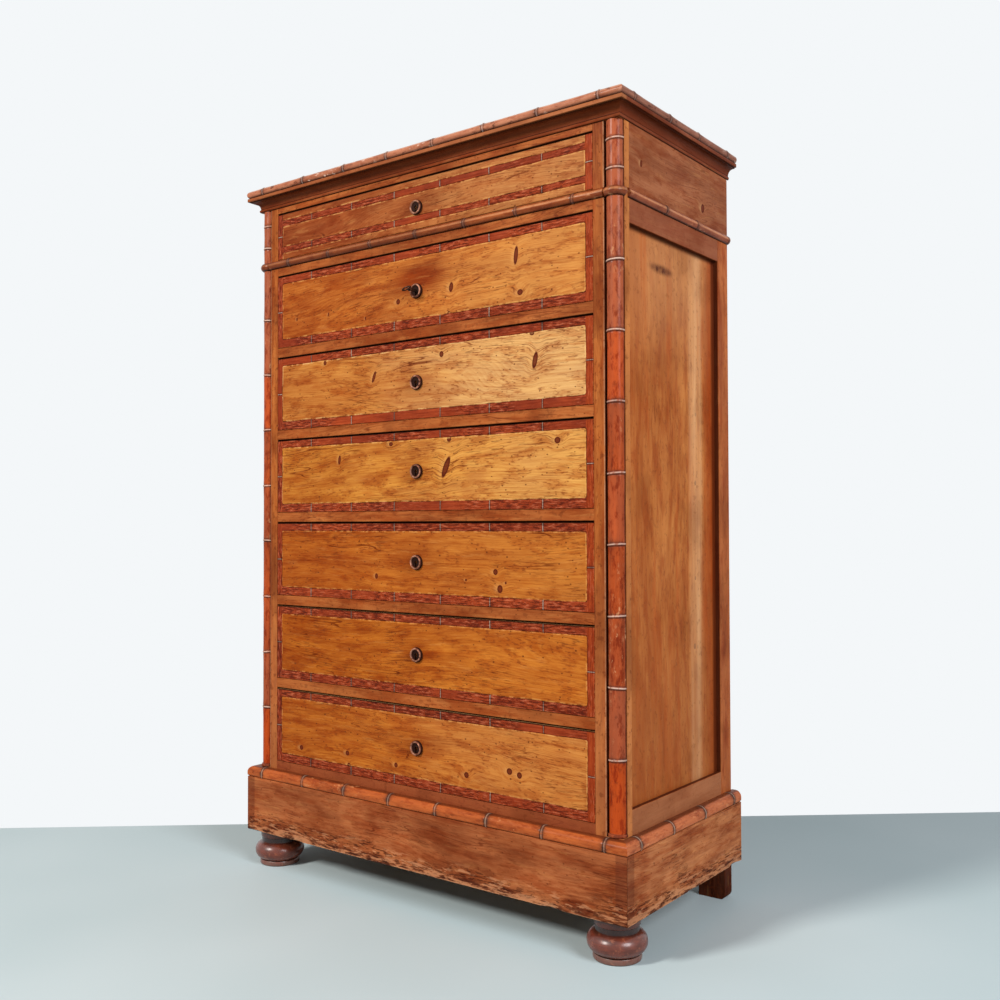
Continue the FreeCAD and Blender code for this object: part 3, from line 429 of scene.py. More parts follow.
def front_wood(row, light, dark, pale, spacing, knots=(), scratched=0.7, smudge=(0.004, 0.08, 0.05, 0.4)):
    """The show face of a drawer: field, border, worn edges and the dark halo of the boss, with painted light
    towards the right, painted shade towards the left and at the gap above the face, and a painted highlight on
    the arris.
    smudge is the halo's height over the boss, half width, half height and strength."""
    shader = Shader(f"front_face_{row}")
    x, y, z = shader.x, shader.y, shader.z
    seed = float(row)
    height = FRONT_HEIGHT[row]
    up = z - FRONT_LOW[row]
    broad = shader.noise(x * 4 + seed, z * 9, seed)
    wobble = shader.noise(x * 24, z * 24, seed, 4.0, 0.6) * 0.0012 - 0.0006
    inside = border_shape(row, x, up, wobble)
    # Painted light across the front: paler towards the right, and painted shade towards the left.
    right = (x + broad * 0.16).step(-0.15, 0.42)
    left = (x - broad * 0.1).step(-0.05, -0.42)
    above, wide, tall, strong = smudge
    halo = length(x / wide, (z - BOSS_MIDDLE[row] - above) / tall)
    halo = (halo - broad * 0.3).step(0.9, 0.0)

    def under(colour):
        return (colour.coat(right * 0.55, pale)
                .coat(left * 0.3, shader.mix(0.5, dark, (128, 52, 14)))
                .coat(inside.step(-0.014, 0.0) * broad * 0.25, (140, 62, 20))
                .tint(halo * strong, (180, 110, 70)))

    field, relief = grain(shader, (x, up, y - FRONT), light, dark, seed, spacing, knots=knots, tilt=0.035,
                          pith=0.03, under=under)
    worn = shader.noise(x * 50, z * 50, seed + 4, 3.0, 0.7)
    edge_light = inside.step(-0.0036, -0.0008) * worn.step(0.3, 0.9)
    field = field.coat(edge_light * 0.55, shader.mix(0.4, pale, (240, 186, 112)))
    band, band_relief = border_wood(shader, row, scratched, broad)
    border = inside.step(-0.0007, 0.0006)
    edge_dark = (inside - 0.0006).line(0.0011) * worn.step(0.75, 0.2)
    # The outer arris is paler: worn wood, and a painted highlight along the edge.
    rim = ((abs(x) - DRAWER_HALF) | (abs(up - height / 2) - height / 2)) + WORN_RIM
    # Painted shade: near black along the top of the face, by the gap under the rail, and behind the face.
    gap_shade = up.step(height - 0.0022, height - 0.0008) | y.step(FRONT + 0.0004, FRONT + 0.0014)
    colour = (field.coat(border, band)
              .coat(edge_dark * 0.75, (52, 20, 10))
              .coat(rim.step(0.0, 0.0014) * worn.step(0.45, 0.8) * 0.5, (198, 118, 66))
              .coat(gap_shade * 0.92, (20, 8, 5)))
    bump = relief * (1.0 - border) + band_relief * border - edge_dark
    return shader.finish(colour, shader.clouds(9.0, 3.0, 0.6) * 0.16 + 0.36, bump)


def metal(name, light, dark, roughness, wear, metallic, tone=None):
    shader = Shader(name)
    cloud = shader.clouds(220.0, 3.0, 0.6)
    broad = shader.clouds(220.0 / 6)
    rim = shader.node("ShaderNodeNewGeometry", output="Pointiness").step(0.52, 0.6)
    colour = shader.mix(cloud * 0.6 + broad * 0.4, light, dark).coat(rim * 0.6, wear)
    if tone:
        colour = tone(shader, colour)
    return shader.finish(colour, broad * 0.2 + roughness, cloud, 0.0001, metallic=metallic, specular=0.06)


# Meshes.

def dressed(name, mesh, node, body):
    """An object of this mesh that rides on a body and stands for a node."""
    made = bpy.data.objects.new(name, mesh)
    bpy.context.scene.collection.objects.link(made)
    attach(made, body)
    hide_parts(node)
    return made


def build(name, points, faces, node, body, materials, marks=None, places=None):
    """A piece from points and faces. marks are numbers per point, places the material of each face."""
    mesh = bpy.data.meshes.new(name)
    mesh.from_pydata(points, [], faces)
    for mark, values in (marks or {}).items():
        mesh.attributes.new(mark, "FLOAT", "POINT").data.foreach_set("value", values)
    for material in materials:
        mesh.materials.append(material)
    if places:
        mesh.polygons.foreach_set("material_index", places)
    mesh.validate()
    solid = bmesh.new()
    solid.from_mesh(mesh)
    bmesh.ops.recalc_face_normals(solid, faces=solid.faces)
    solid.to_mesh(mesh)
    solid.free()
    mesh.shade_smooth()
    mesh.set_sharp_from_angle(angle=math.radians(38))
    return dressed(name, mesh, node, body)


def softened(node, width, material):
    """A copy of a carcass node's solids with worn edges, which stands for the node."""
    work = bmesh.new()
    work.from_mesh(NODES[node].data)
    bmesh.ops.remove_doubles(work, verts=work.verts, dist=1e-6)
    bmesh.ops.dissolve_limit(work, angle_limit=0.01, verts=work.verts, edges=work.edges)
    sharp = [e for e in work.edges if len(e.link_faces) == 2 and e.calc_face_angle(0) > 0.6 and e.is_convex]
    bmesh.ops.bevel(work, geom=sharp, offset=width, segments=2, profile=0.6, affect="EDGES",
                    clamp_overlap=True)
    bmesh.ops.triangulate(work, faces=[f for f in work.faces if len(f.verts) > 4])
    mesh = bpy.data.meshes.new(f"{node}_worn")
    work.to_mesh(mesh)
    work.free()
    mesh.materials.clear()
    mesh.materials.append(material)
    mesh.polygons.foreach_set("material_index", [0] * len(mesh.polygons))
    return dressed(f"{node}_worn", mesh, node, "carcass")


def clothe(node, material):
    """A better material on a node whose shape is right."""
    slots = NODES[node].data.materials
    slots.clear()
    slots.append(material)


class Loft:
    """Sections joined one after another, with marks at their points."""

    def __init__(self, names=("crest", "line", "near")):
        self.points = []
        self.faces = []
        self.marks = {name: [] for name in names}

    def add(self, sections, marks=None):
        start = len(self.points)
        count = len(sections[0])
        for section, values in zip(sections, marks or [{}] * len(sections)):
            self.points.extend(section)
            for name in self.marks:
                self.marks[name].extend([values.get(name, 0.0)] * count)
        for i in range(len(sections) - 1):
            for j in range(count):
                a = start + i * count + j
                b = start + i * count + (j + 1) % count
                self.faces.append((a, b, b + count, a + count))
        self.faces.append(tuple(range(start + count - 1, start - 1, -1)))
        end = start + (len(sections) - 1) * count
        self.faces.append(tuple(range(end, end + count)))

    def object(self, name, node, material):
        return build(name, self.points, self.faces, node, "carcass", [material], self.marks)


def arc(centre, radius, start, end, count):
    """Points on an arc, angles in degrees."""
    turns = [math.radians(start + (end - start) * i / count) for i in range(count + 1)]
    return [(centre[0] + radius * math.cos(t), centre[1] + radius * math.sin(t)) for t in turns]


def lens(width, proud):
    """Radius and half angle in degrees of an arc this wide that stands this proud of its chord."""
    radius = ((width / 2) ** 2 + proud ** 2) / (2 * proud)
    return radius, math.degrees(math.asin(width / 2 / radius))


def pulse(distance, width):
    """1 at a node's middle, falling to 0 at its half width."""
    near = max(0.0, 1.0 - abs(distance) / width)
    return near * near * (3 - 2 * near)


RING_PROUD = 0.0013
RING_STEPS = [side * d for side in (-1, 1) for d in (0, 0.6, 1.1, 1.6, 2.1, 2.6, 3.4, 4.4, 6.5, 9)]
STATION_STEP = 0.02


def bamboo_stations(start, end, nodes):
    """Places along a moulding, close together at its nodes."""
    places = {start, end}
    for node in nodes:
        places.update(node + d * MM for d in RING_STEPS if start < node + d * MM < end)
    count = max(2, round((end - start) / STATION_STEP))
    for i in range(1, count):
        place = start + (end - start) * i / count
        if all(abs(place - node) > 0.011 for node in nodes):
            places.add(place)
    return sorted(places)


def bamboo_swell(place, nodes, seed):
    """How far the surface stands out here, and the marks that its material reads."""
    grow = 0.0
    marks = {"crest": 0.0, "line": 0.0, "near": 0.0}
    for i, node in enumerate(nodes):
        d = place - node
        if abs(d) > 0.03:
            continue
        strong = 0.75 + 0.4 * noise.noise(Vector((i * 3.7, seed, 1.3)))
        grow += RING_PROUD * strong * pulse(d, 0.0025)
        grow -= 0.0004 * pulse(abs(d) - 0.0033, 0.0014)
        grow += 0.0005 * pulse(d, 0.022)
        marks["crest"] = max(marks["crest"], pulse(d - 0.0002, 0.0019) * min(1.0, strong))
        marks["line"] = max(marks["line"], pulse(d + 0.0027, 0.0018), 0.7 * pulse(d - 0.003, 0.0014))
        marks["near"] = max(marks["near"], pulse(d, 0.013))
    return grow, marks


def bamboo_run(loft, section, normals, place_point, start, end, nodes, seed, wave=0.0006):
    """A moulding with nodes. place_point(s, u, v, end) gives the point; end is -1 at the start, 1 at the end
    and 0 between. wave is how far the rings lean."""
    stations = bamboo_stations(start, end, nodes)
    sections, all_marks = [], []
    for s in stations:
        at = (s == stations[-1]) - (s == stations[0])
        grow, marks = bamboo_swell(s, nodes, seed)
        out = grow + 0.00022 * noise.noise(Vector((s * 24, seed, 0)))
        near, slant = 0.0, 0.0
        for i, node in enumerate(nodes):
            if abs(s - node) < 0.012:
                near = pulse(s - node, 0.012)
                slant = 5.0 * noise.noise(Vector((i * 5.3, seed, 7.7)))
        points = []
        for (u, v), (nu, nv) in zip(section, normals):
            uneven = 0.3 * noise.noise(Vector((u * 120 + seed, v * 120, s * 3)))
            lean = wave * near * (math.cos(slant) * u * 90 + math.sin(slant) * v * 90 + uneven)
            points.append(place_point(s if at else s + lean, u + nu * out, v + nv * out, at))
        sections.append(points)
        all_marks.append(marks)
    loft.add(sections, all_marks)


def facing(section, fixed):
    """Outward unit vectors of a closed section's points, zero where fixed says that a point is hidden."""
    count = len(section)
    middle = (sum(p[0] for p in section) / count, sum(p[1] for p in section) / count)
    made = []
    for i, point in enumerate(section):
        if fixed(point):
            made.append((0.0, 0.0))
            continue
        before, after = section[i - 1], section[(i + 1) % count]
        n = Vector((after[1] - before[1], before[0] - after[0])).normalized()
        if n.dot(Vector((point[0] - middle[0], point[1] - middle[1]))) < 0:
            n = -n
        made.append((n.x, n.y))
    return made


def rolled(reach, inner, height):
    """A strip with a full round above and a small one below."""
    top = arc((reach - 0.012, height - 0.012), 0.012, 0, 90, 9)
    return [(inner, 0.0)] + arc((reach - 0.005, 0.005), 0.005, -90, 0, 5) + top + [(inner, height)]


def nosed(reach, inner, height):
    """A strip with a half-round nose."""
    r = height / 2
    return [(inner, 0.0)] + arc((reach - r, r), r, -90, 90, 12) + [(inner, height)]


def side_points(sign, low, shift=0.0, open_mitre=0.0):
    """Places a side moulding: s runs from the back to the front."""
    def place(s, u, v, end):
        y = FRONT - (u + shift) + open_mitre if end > 0 else FAR_BACK - s
        return Vector((sign * (HALF + u), y, low + v))
    return place


def front_points(low, shift=0.0, open_mitre=0.0):
    """Places the front moulding: s runs from left to right, from the middle."""
    def place(s, u, v, end):
        x = end * (HALF + u - shift - open_mitre) if end else s
        return Vector((x, FRONT - u, low + v))
    return place


def mirrored(*places):
    """Places in millimetres, and the same to the left of the middle, in metres."""
    return [p * MM for p in places] + [-p * MM for p in places]


def bamboo_surround(name, node, make_section, low, front_reach, side_reach, front_nodes, side_nodes,
                    material_x, material_y, seed):
    """A bamboo moulding round the front and both sides, in three mitred lengths. side_nodes are in
    millimetres."""
    shift = front_reach - side_reach
    hair, trim = 1e-5, 0.001

    def shape(reach):
        section = make_section(reach)
        inner = min(u for u, v in section) + hair
        return inner, section, facing(section, lambda p: p[0] < inner)

    inner, section, normals = shape(front_reach)
    limit = HALF + inner - shift - trim
    front = Loft()
    bamboo_run(front, section, normals, front_points(low, shift), -limit, limit, front_nodes, seed)
    front.object(name, node, material_x)
    inner, section, normals = shape(side_reach)
    end = FAR_BACK - FRONT + inner + shift - trim
    nodes = [FAR_BACK - y * MM for y in side_nodes]
    sides = Loft()
    for sign in (1, -1):
        bamboo_run(sides, section, normals, side_points(sign, low, shift), 0.0, end, nodes, seed + sign)
    sides.object(f"{name}_sides", node, material_y)


# Flat boards: the solids with worn edges, or with a better material alone.

def rail_gap_shade(shader):
    """Painted shade in the openings: on the undersides and behind the faces."""
    edges = [shader.z - (FRONT_LOW[row] + FRONT_HEIGHT[row] + 0.0025) for row in ROWS]
    over = highest([edge.step(0.0016, 0.0004) * edge.step(-0.002, -0.001) for edge in edges])
    return (shader.y.step(FRONT + 0.0004, FRONT + 0.0012) | over * 0.8) * 0.94


def rail_tone(shader, colour):
    """The bottom rail is darker and redder."""
    return colour.coat(shader.z.step(0.229, 0.2265) * 0.7, (136, 66, 40))


def post_tone(shader, colour):
    """The front posts: a paler side, a pale chipped arris and painted shade on the walls in the notch of the
    column.
    """
    y, z = shader.y, shader.z
    out = abs(shader.x)
    chipped_edge = shader.noise(0.0, 0.0, z * 30, 3.0, 0.7)
    arris = (out - NOTCH_EDGE + 0.0004).line(0.0015) * y.step(FRONT + 0.004, FRONT + 0.0015)
    red = abs(abs(out - 0.411) - 0.011).step(0.006, 0.001)
    # Painted shade on the notch's walls, between the post and the column.
    notch = y.step(FRONT + 0.001, FRONT + 0.003) * out.step(HALF - 0.001, HALF - 0.002)
    return (colour.coat(out.step(HALF - 0.0008, HALF - 0.0002) * 0.4, (214, 138, 78))
            .coat(z.step(0.8, 0.3) * 0.3, (206, 130, 80))
            .coat(arris * (chipped_edge * 0.7 + 0.05), (222, 172, 128))
            .coat(red * chipped_edge * 0.4, (132, 54, 28))
            .coat(notch * 0.9, (84, 38, 24)))


def recess_shade(shader, colour):
    """Painted shade on the walls round the side panel's recess."""
    return colour.coat(abs(shader.x).step(HALF - 0.0008, HALF - 0.0022) * 0.85, (62, 22, 14))


def frieze_tone(shader, colour):
    """The level boards at the sides: the lower rail is paler, the upper one dark."""
    z = shader.z
    colour = colour.coat(z.step(0.4, 0.3) * 0.5, (172, 108, 70))
    return recess_shade(shader, colour.coat(z.step(1.3, 1.289) * z.step(1.0, 1.1) * 0.55, (128, 66, 44)))


def back_tone(shader, colour):
    """Each back board has its own tone, with a dark joint to the next."""
    place = shader.x / BACK_BOARD + 0.5
    joint = abs(place.part() - 0.5) * BACK_BOARD
    return (colour.tint(place.random() * 0.5, (196, 160, 128))
            .coat(joint.step(BACK_BOARD / 2 - 0.0022, BACK_BOARD / 2 - 0.001) * 0.85, (34, 20, 12)))


def panel_tone(shader, colour):
    """The side panel is glued from upright boards: a dark one in front, a pale stripe near the back and a
    red edge behind it. It is paler above, with a blot, painted shade in the back corner and a painted shadow
    under the upper rail."""
    y, z = shader.y, shader.z
    run = shader.noise(0.0, y * 60, z * 2.2)
    red = shader.noise(3.0, y * 26, z * 1.6, 3.0, 0.6).step(0.5, 1.0)
    uneven = shader.noise(y * 110, z * 60, 0.0, 3.0, 0.7)
    blot = length((y + 0.031) / 0.046, (z - 1.191) / 0.0095).step(1.3, 0.3) * (uneven * 0.5 + 0.5)
    return (colour.coat(abs(y - 0.1).step(0.036, 0.008) * (run * 0.6 + 0.4) * 0.7, (232, 176, 124))
            .coat(z.step(0.95, 1.2) * 0.4, (196, 138, 92))
            .coat(red * 0.45, (176, 78, 26))
            .coat(y.step(-0.05, -0.13) * 0.35, (160, 78, 32))
            .coat(y.step(0.13, 0.162) * 0.65, (150, 56, 14))
            .coat(z.step(0.7, 0.3) * 0.45, (142, 72, 34))
            # Painted shade in the back corner of the recess.
            .coat(y.step(0.162, 0.1735) * 0.8, (60, 16, 8))
            .coat(blot, (66, 24, 16))
            # Painted shadow under the upper rail.
            .coat(z.step(1.236, 1.2445) * 0.8, (60, 20, 10)))


rail_wood = timber("rail_wood", "xzy", (184, 108, 56), (142, 72, 34), 2.3, 0.45, 0.35, tone=rail_tone,
                   grime_and_shade=rail_gap_shade)
post_wood = timber("post_wood", "zxy", (186, 108, 52), (132, 66, 28), 7.1, 0.45, 0.5, tone=post_tone)
side_wood = timber("side_wood", "zyx", (192, 112, 62), (152, 78, 40), 4.4, 0.45, 0.3, tone=recess_shade,
                   fine=0.6)
frieze_wood = timber("frieze_wood", "yzx", (166, 104, 70), (134, 78, 50), 5.2, 0.48, 0.2,
                     knots=((-0.119, 1.3587, 0.0035, 0.006, 0.1), (0.117, 1.336, 0.006, 0.008, 0.1)),
                     tone=frieze_tone, fine=0.7)
raw_wood = timber("raw_wood", "xyz", (206, 164, 112), (184, 136, 86), 1.7, 0.75, 0.08, fine=0.4)
raw_upright = timber("raw_upright", "zxy", (200, 158, 108), (170, 124, 78), 6.7, 0.75, 0.12, tone=back_tone,
                     fine=0.5)
raw_deep = timber("raw_deep", "yzx", (206, 164, 112), (184, 136, 86), 8.3, 0.75, 0.08, fine=0.4)
top_wood = timber("top_wood", "xyz", (176, 106, 58), (138, 72, 36), 4.9, 0.5, 0.3)
rear_foot_wood = timber("rear_foot_wood", "zxy", (92, 50, 34), (50, 24, 16), 2.2, 0.6, 0.4)
panel_wood = timber("panel_wood", "zyx", (198, 124, 64), (160, 86, 36), 11.3, 0.42, 0.25, 0.006,
                    ((0.502, 0.092, 0.005, 0.0042, 0.0), (0.5, 0.104, 0.0035, 0.003, 0.0),
                     (0.81, 0.098, 0.004, 0.003, 0.1), (0.94, 0.1, 0.0034, 0.0028, 0.0),
                     (0.63, 0.096, 0.0034, 0.0028, 0.0)), 0.012, 0.2, panel_tone, fine=0.6)

softened("corner_posts", 0.5 * MM, post_wood)
softened("front_rails", 1.0 * MM, rail_wood)
for side, _ in SIDES:
    side_frame = softened(f"side_frame_{side}", 0.9 * MM, side_wood).data
    side_frame.materials.append(frieze_wood)
    for face in side_frame.polygons:
        level = not LOWER_RAIL_TOP <= face.center.z <= UPPER_RAIL_LOW
        if level and FRAME_FRONT < face.center.y < FRAME_BACK:
            face.material_index = 1
softened("rear_feet", 1.2 * MM, rear_foot_wood)
softened("back_panel", 1.0 * MM, raw_upright)
clothe("side_panels", panel_wood)
clothe("top_board", top_wood)
clothe("drawer_runners", raw_deep)


# Round the top and the plinth.

def edging_shade_and_highlight(shader, colour):
    """Painted shade under the edging's nose, and a painted highlight along its top."""
    up = shader.z - EDGING_LOW
    return (colour.coat(up.step(0.0055, 0.0012) * 0.75, (58, 24, 16))
            .coat(up.step(0.011, 0.0155) * 0.5, (214, 186, 168)))


def roll_crease_shade(shader, colour):
    """Painted shade where the roll lies on the plinth and where the boards stand on it."""
    up = shader.z - ROLL_LOW
    return colour.coat((up.step(0.0032, 0.0008) | up.step(0.0198, 0.0214)) * 0.7, (70, 30, 18))


edging_bamboo = bamboo("edging_bamboo", "xyz", (196, 130, 98), (148, 82, 56), (226, 190, 170), 5.5, 0.8, 0.3,
                       edging_shade_and_highlight)
edging_side_bamboo = bamboo("edging_side_bamboo", "yxz", (158, 104, 82), (108, 62, 46), (204, 178, 160), 6.5,
                            0.4, 0.2, edging_shade_and_highlight, mottled=0.2)
roll_bamboo = bamboo("roll_bamboo", "xyz", (200, 104, 50), (140, 64, 30), (226, 154, 100), 2.7, 0.4, 0.6,
                     roll_crease_shade, roughness=0.3, grime_and_shade=1.0, crest_colour=(186, 156, 134), flecked=0.3)
roll_side_bamboo = bamboo("roll_side_bamboo", "yxz", (222, 128, 78), (164, 84, 50), (226, 154, 104), 3.9, 0.4,
                          0.7, roll_crease_shade, roughness=0.3, grime_and_shade=1.0, crest_colour=(206, 178, 156), flecked=0.3)
bamboo_surround("edging_front", "top_edging", lambda r: nosed(r, r - 0.014, 0.017), EDGING_LOW, 0.025, 0.020,
                mirrored(60, 180, 301, 427), (-171, -45, 68, 190), edging_bamboo, edging_side_bamboo, 1.0)
bamboo_surround("roll_front", "plinth_roll", lambda r: rolled(r, 0.0, 0.0215), ROLL_LOW, 0.0195, 0.0195,
                mirrored(60, 182, 303, 430), (-164, -48, 74, 196), roll_bamboo, roll_side_bamboo, 2.0)


# Cornice.

SIDE_SHARE = 19 / 24


def cornice_tone(shader, colour):
    """Painted light on the fascia's front, stronger to the right, and painted shade in the cove and in the
    quirks.
    """
    up = shader.z - CORNICE_LOW
    fascia = up.step(0.0209, 0.0219)
    # Painted shade in the cove, and painted light on the fascia's front.
    cove_shade = up.step(0.0055, 0.0075) * (1.0 - fascia)
    fascia_light = shader.y.step(FRONT - 0.004, FRONT - 0.012) * (shader.x.step(-0.3, 0.4) * 0.6 + 0.3)
    quirks = highest([(up - 0.0212).line(0.0013), (up - 0.0072).line(0.0011), up.step(0.0018, 0.0002),
                      up.step(0.0278, 0.0288)])
    return (colour.coat(cove_shade * 0.65, (92, 38, 18))
            .coat(fascia * fascia_light * 0.6, (178, 112, 70))
            .coat(quirks * 0.85, (34, 10, 4)))


def cornice_section(share):
    """Bead, cove, fillet and fascia, with share drawing the side's section in."""
    bead = arc((0.0, 0.0035), 0.0037, -90, 25, 7)[1:]
    turns = [math.radians(a) for a in (0, 8, 20, 32, 44, 56, 68, 80, 90)]
    cove = [(0.0014 + 0.012 * (1 - math.cos(t)), 0.007 + 0.013 * math.sin(t)) for t in turns]
    top = [(0.0134, 0.0202), (0.0188, 0.0204), (0.0194, 0.021), (0.0194, 0.022), (0.0234, 0.022),
           (0.024, 0.0227), (0.024, 0.0283), (0.0235, 0.029), (0.0, 0.029)]
    return [(0.0, 0.0)] + [(u * share, v) for u, v in bead + cove + top]


def cornice(material_x, material_y):
    """Round the front and both sides, in three mitred lengths, slightly uneven along them."""
    trim = 0.002

    def ripple(s, u, v, seed):
        return 0.00018 * noise.noise(Vector((s * 18, u * 90 + seed, v * 90))) if u > 0 else 0.0

    front = Loft(())
    limit = HALF - trim
    count = round(2 * limit / STATION_STEP)
    sections = []
    for i in range(count + 1):
        s = -limit + 2 * limit * i / count
        points = []
        for u, v in cornice_section(1.0):
            x = math.copysign(HALF + u * SIDE_SHARE, s) if i in (0, count) else s
            points.append(Vector((x, FRONT - u - ripple(s, u, v, 0.0), CORNICE_LOW + v)))
        sections.append(points)
    front.add(sections)
    front.object("cornice_front", "cornice", material_x)
    sides = Loft(())
    reach = FAR_BACK - FRONT - trim
    count = round(reach / STATION_STEP)
    for sign in (1, -1):
        sections = []
        for i in range(count + 1):
            points = []
            for u, v in cornice_section(SIDE_SHARE):
                y = FRONT - u / SIDE_SHARE if i == count else FAR_BACK - reach * i / count
                points.append(Vector((sign * (HALF + u + ripple(y, u, v, sign)), y, CORNICE_LOW + v)))
            sections.append(points)
        sides.add(sections)
    sides.object("cornice_front_sides", "cornice", material_y)


cornice(timber("cornice_wood", "xzy", (156, 86, 50), (116, 54, 26), 6.1, 0.42, 0.3, tone=cornice_tone),
        timber("cornice_side_wood", "yzx", (136, 72, 46), (104, 48, 28), 8.8, 0.42, 0.3, tone=cornice_tone,
               fine=0.6))


# Plinth boards with a chipped lower edge.

def plinth_section(s, seed):
    """Section at s, worn above and chipped below. Each point also has its share of raw wood."""
    thick, tall = 0.019, 0.114
    small = abs(noise.noise(Vector((s * 70, seed, 0.0)))) * 1.6
    large = max(0.0, noise.noise(Vector((s * 17, seed, 5.0))) - 0.12) * 14
    gone = (1.2 + small + large) * MM
    shallow = gone * 0.45
    middle = gone * (0.5 + 0.25 * noise.noise(Vector((s * 210, seed, 9.0))))
    points = [(0.0, 0.0), (thick - shallow * 1.6, 0.0), (thick - shallow, gone * 0.12),
              (thick - shallow * 0.55, middle), (thick - 0.0002, gone), (thick, gone + 0.001)]
    points += [(thick, 0.02 + 0.085 * i / 5) for i in range(6)]
    points += [(thick, tall - 0.0009), (thick - 0.0003, tall - 0.0003), (thick - 0.0009, tall), (0.0, tall)]
    raw = [0.0, 0.6, 1.0, 1.0, 0.7, 0.15] + [0.0] * 10
    return points, raw


CHIP_STEP = 0.003


def plinth_board(loft, start, end, place, seed):
    """A board from start to end, whose points get their share of raw wood as a mark."""
    count = round((end - start) / CHIP_STEP)
    base = len(loft.points)
    sections, raws = [], []
    for i in range(count + 1):
        s = start + (end - start) * i / count
        points, raw = plinth_section(s, seed)
        sections.append([place(s, u, v, (i == count) - (i == 0)) for u, v in points])
        raws.extend(raw)
    loft.add(sections)
    loft.marks["raw"][base:] = raws


def plinth_wood(name, axes, light, dark, seed):
    """Plinth wood whose chips show paler wood, with long pits."""
    shader = Shader(name)
    drawn = functools.partial(shader.drawn, axes, seed)
    up = shader.z - PLINTH_LOW
    cloud = shader.clouds(6.0, 4.0, 0.6)
    where = drawn(5, 11, 2.0, 0.5)
    low = up.step(0.052, 0.007)
    pits = drawn(50, 300, 2.0).step(0.68, 0.8) * (where * 0.5 + low * 0.5).step(0.3, 0.7)
    corner = abs(shader.x).step(HALF - 0.006, HALF - 0.001) & shader.y.step(FRONT + 0.006, FRONT + 0.001)
    dirt = drawn(9, 40, 4.0, 0.7)
    scuffs = drawn(26, 130, 3.0, 0.7)
    lowest = up.step(0.018, 0.007) * where.step(0.1, 0.5)
    scraped = (scuffs + lowest * 0.25).step(0.66, 0.85) * (low + where * 0.3).step(0.2, 1.0)
    raw = shader.mark("raw")
    torn = raw * scuffs.step(0.35, 0.15)
    colour, height = grain(shader, shader.ways(axes), light, dark, seed, 0.006, contrast=0.3, fine=0.8)
    colour = (colour.coat(cloud.step(0.45, 1.0) * 0.4, (112, 50, 22))
              .coat(pits * 0.8, (74, 30, 16))
              .coat(corner * 0.45, (92, 40, 26))
              .tint(dirt.step(0.45, 0.9) * (low * 0.5 + 0.3), (150, 96, 76))
              .coat(scraped * 0.6, (198, 134, 94))
              .coat(lowest * scuffs.step(0.42, 0.3) * 0.75, (66, 30, 20))
              .coat(raw * scuffs.step(0.1, 0.5) * 0.85, (206, 142, 102))
              .coat(torn * 0.7, (58, 24, 16)))
    return shader.finish(colour, cloud * 0.15 + 0.42, height - pits * 2.0 - torn, 0.0005)


def plinth():
    """Three mitred boards, and the blocks behind them that hold the feet."""
    gap = 0.0003
    near, far = FRONT + 0.0005, FRONT + 0.0915
    inner, outer = 0.3645, 0.4555
    block_levels = (0.0732, 0.1028)
    front = Loft(("raw",))
    plinth_board(front, -HALF, HALF, front_points(PLINTH_LOW, open_mitre=gap), 1.0)
    front.object("plinth_front_board", "plinth_frame",
                 plinth_wood("plinth_face", "xzy", (184, 110, 66), (140, 76, 44), 9.7))
    sides = Loft(("raw",))
    blocks = Loft(())
    for sign in (1, -1):
        place = side_points(sign, PLINTH_LOW, open_mitre=gap)
        plinth_board(sides, 0.0, FAR_BACK - FRONT, place, 3.0 + sign)
        ring = [(inner, near), (outer, near), (outer, far), (inner, far)]
        blocks.add([[Vector((sign * x, y, z)) for x, y in ring] for z in block_levels])
    sides.object("plinth_side_boards", "plinth_frame",
                 plinth_wood("plinth_side", "yzx", (206, 136, 88), (166, 98, 60), 3.3))
    blocks.object("plinth_foot_blocks", "plinth_frame", raw_wood)


plinth()


# Columns.

def column_tone(shader, colour):
    """The upper lengths are duller, the lower ones brighter orange, with painted shade along the back and the
    inner side, where the column lies in the post's notch.
    """
    y, z = shader.y, shader.z
    part = ((z - COLUMN_NODE) / COLUMN_PITCH + 20.0).random()
    # Painted shade along the back and the inner side, where the column lies in the post's notch.
    column_back_shade = (y - COLUMN.y).step(-0.00335, 0.00095) | (abs(shader.x) - COLUMN.x).step(-0.0108, -0.0126)
    return (colour.coat(z.step(0.75, 1.1) * 0.5, (164, 90, 60))
            .coat(part.step(0.5, 0.9) * 0.55, (186, 68, 14))
            .coat(part.step(0.45, 0.1) * 0.4, (150, 84, 60))
            .coat(column_back_shade * 0.75, (60, 24, 14)))


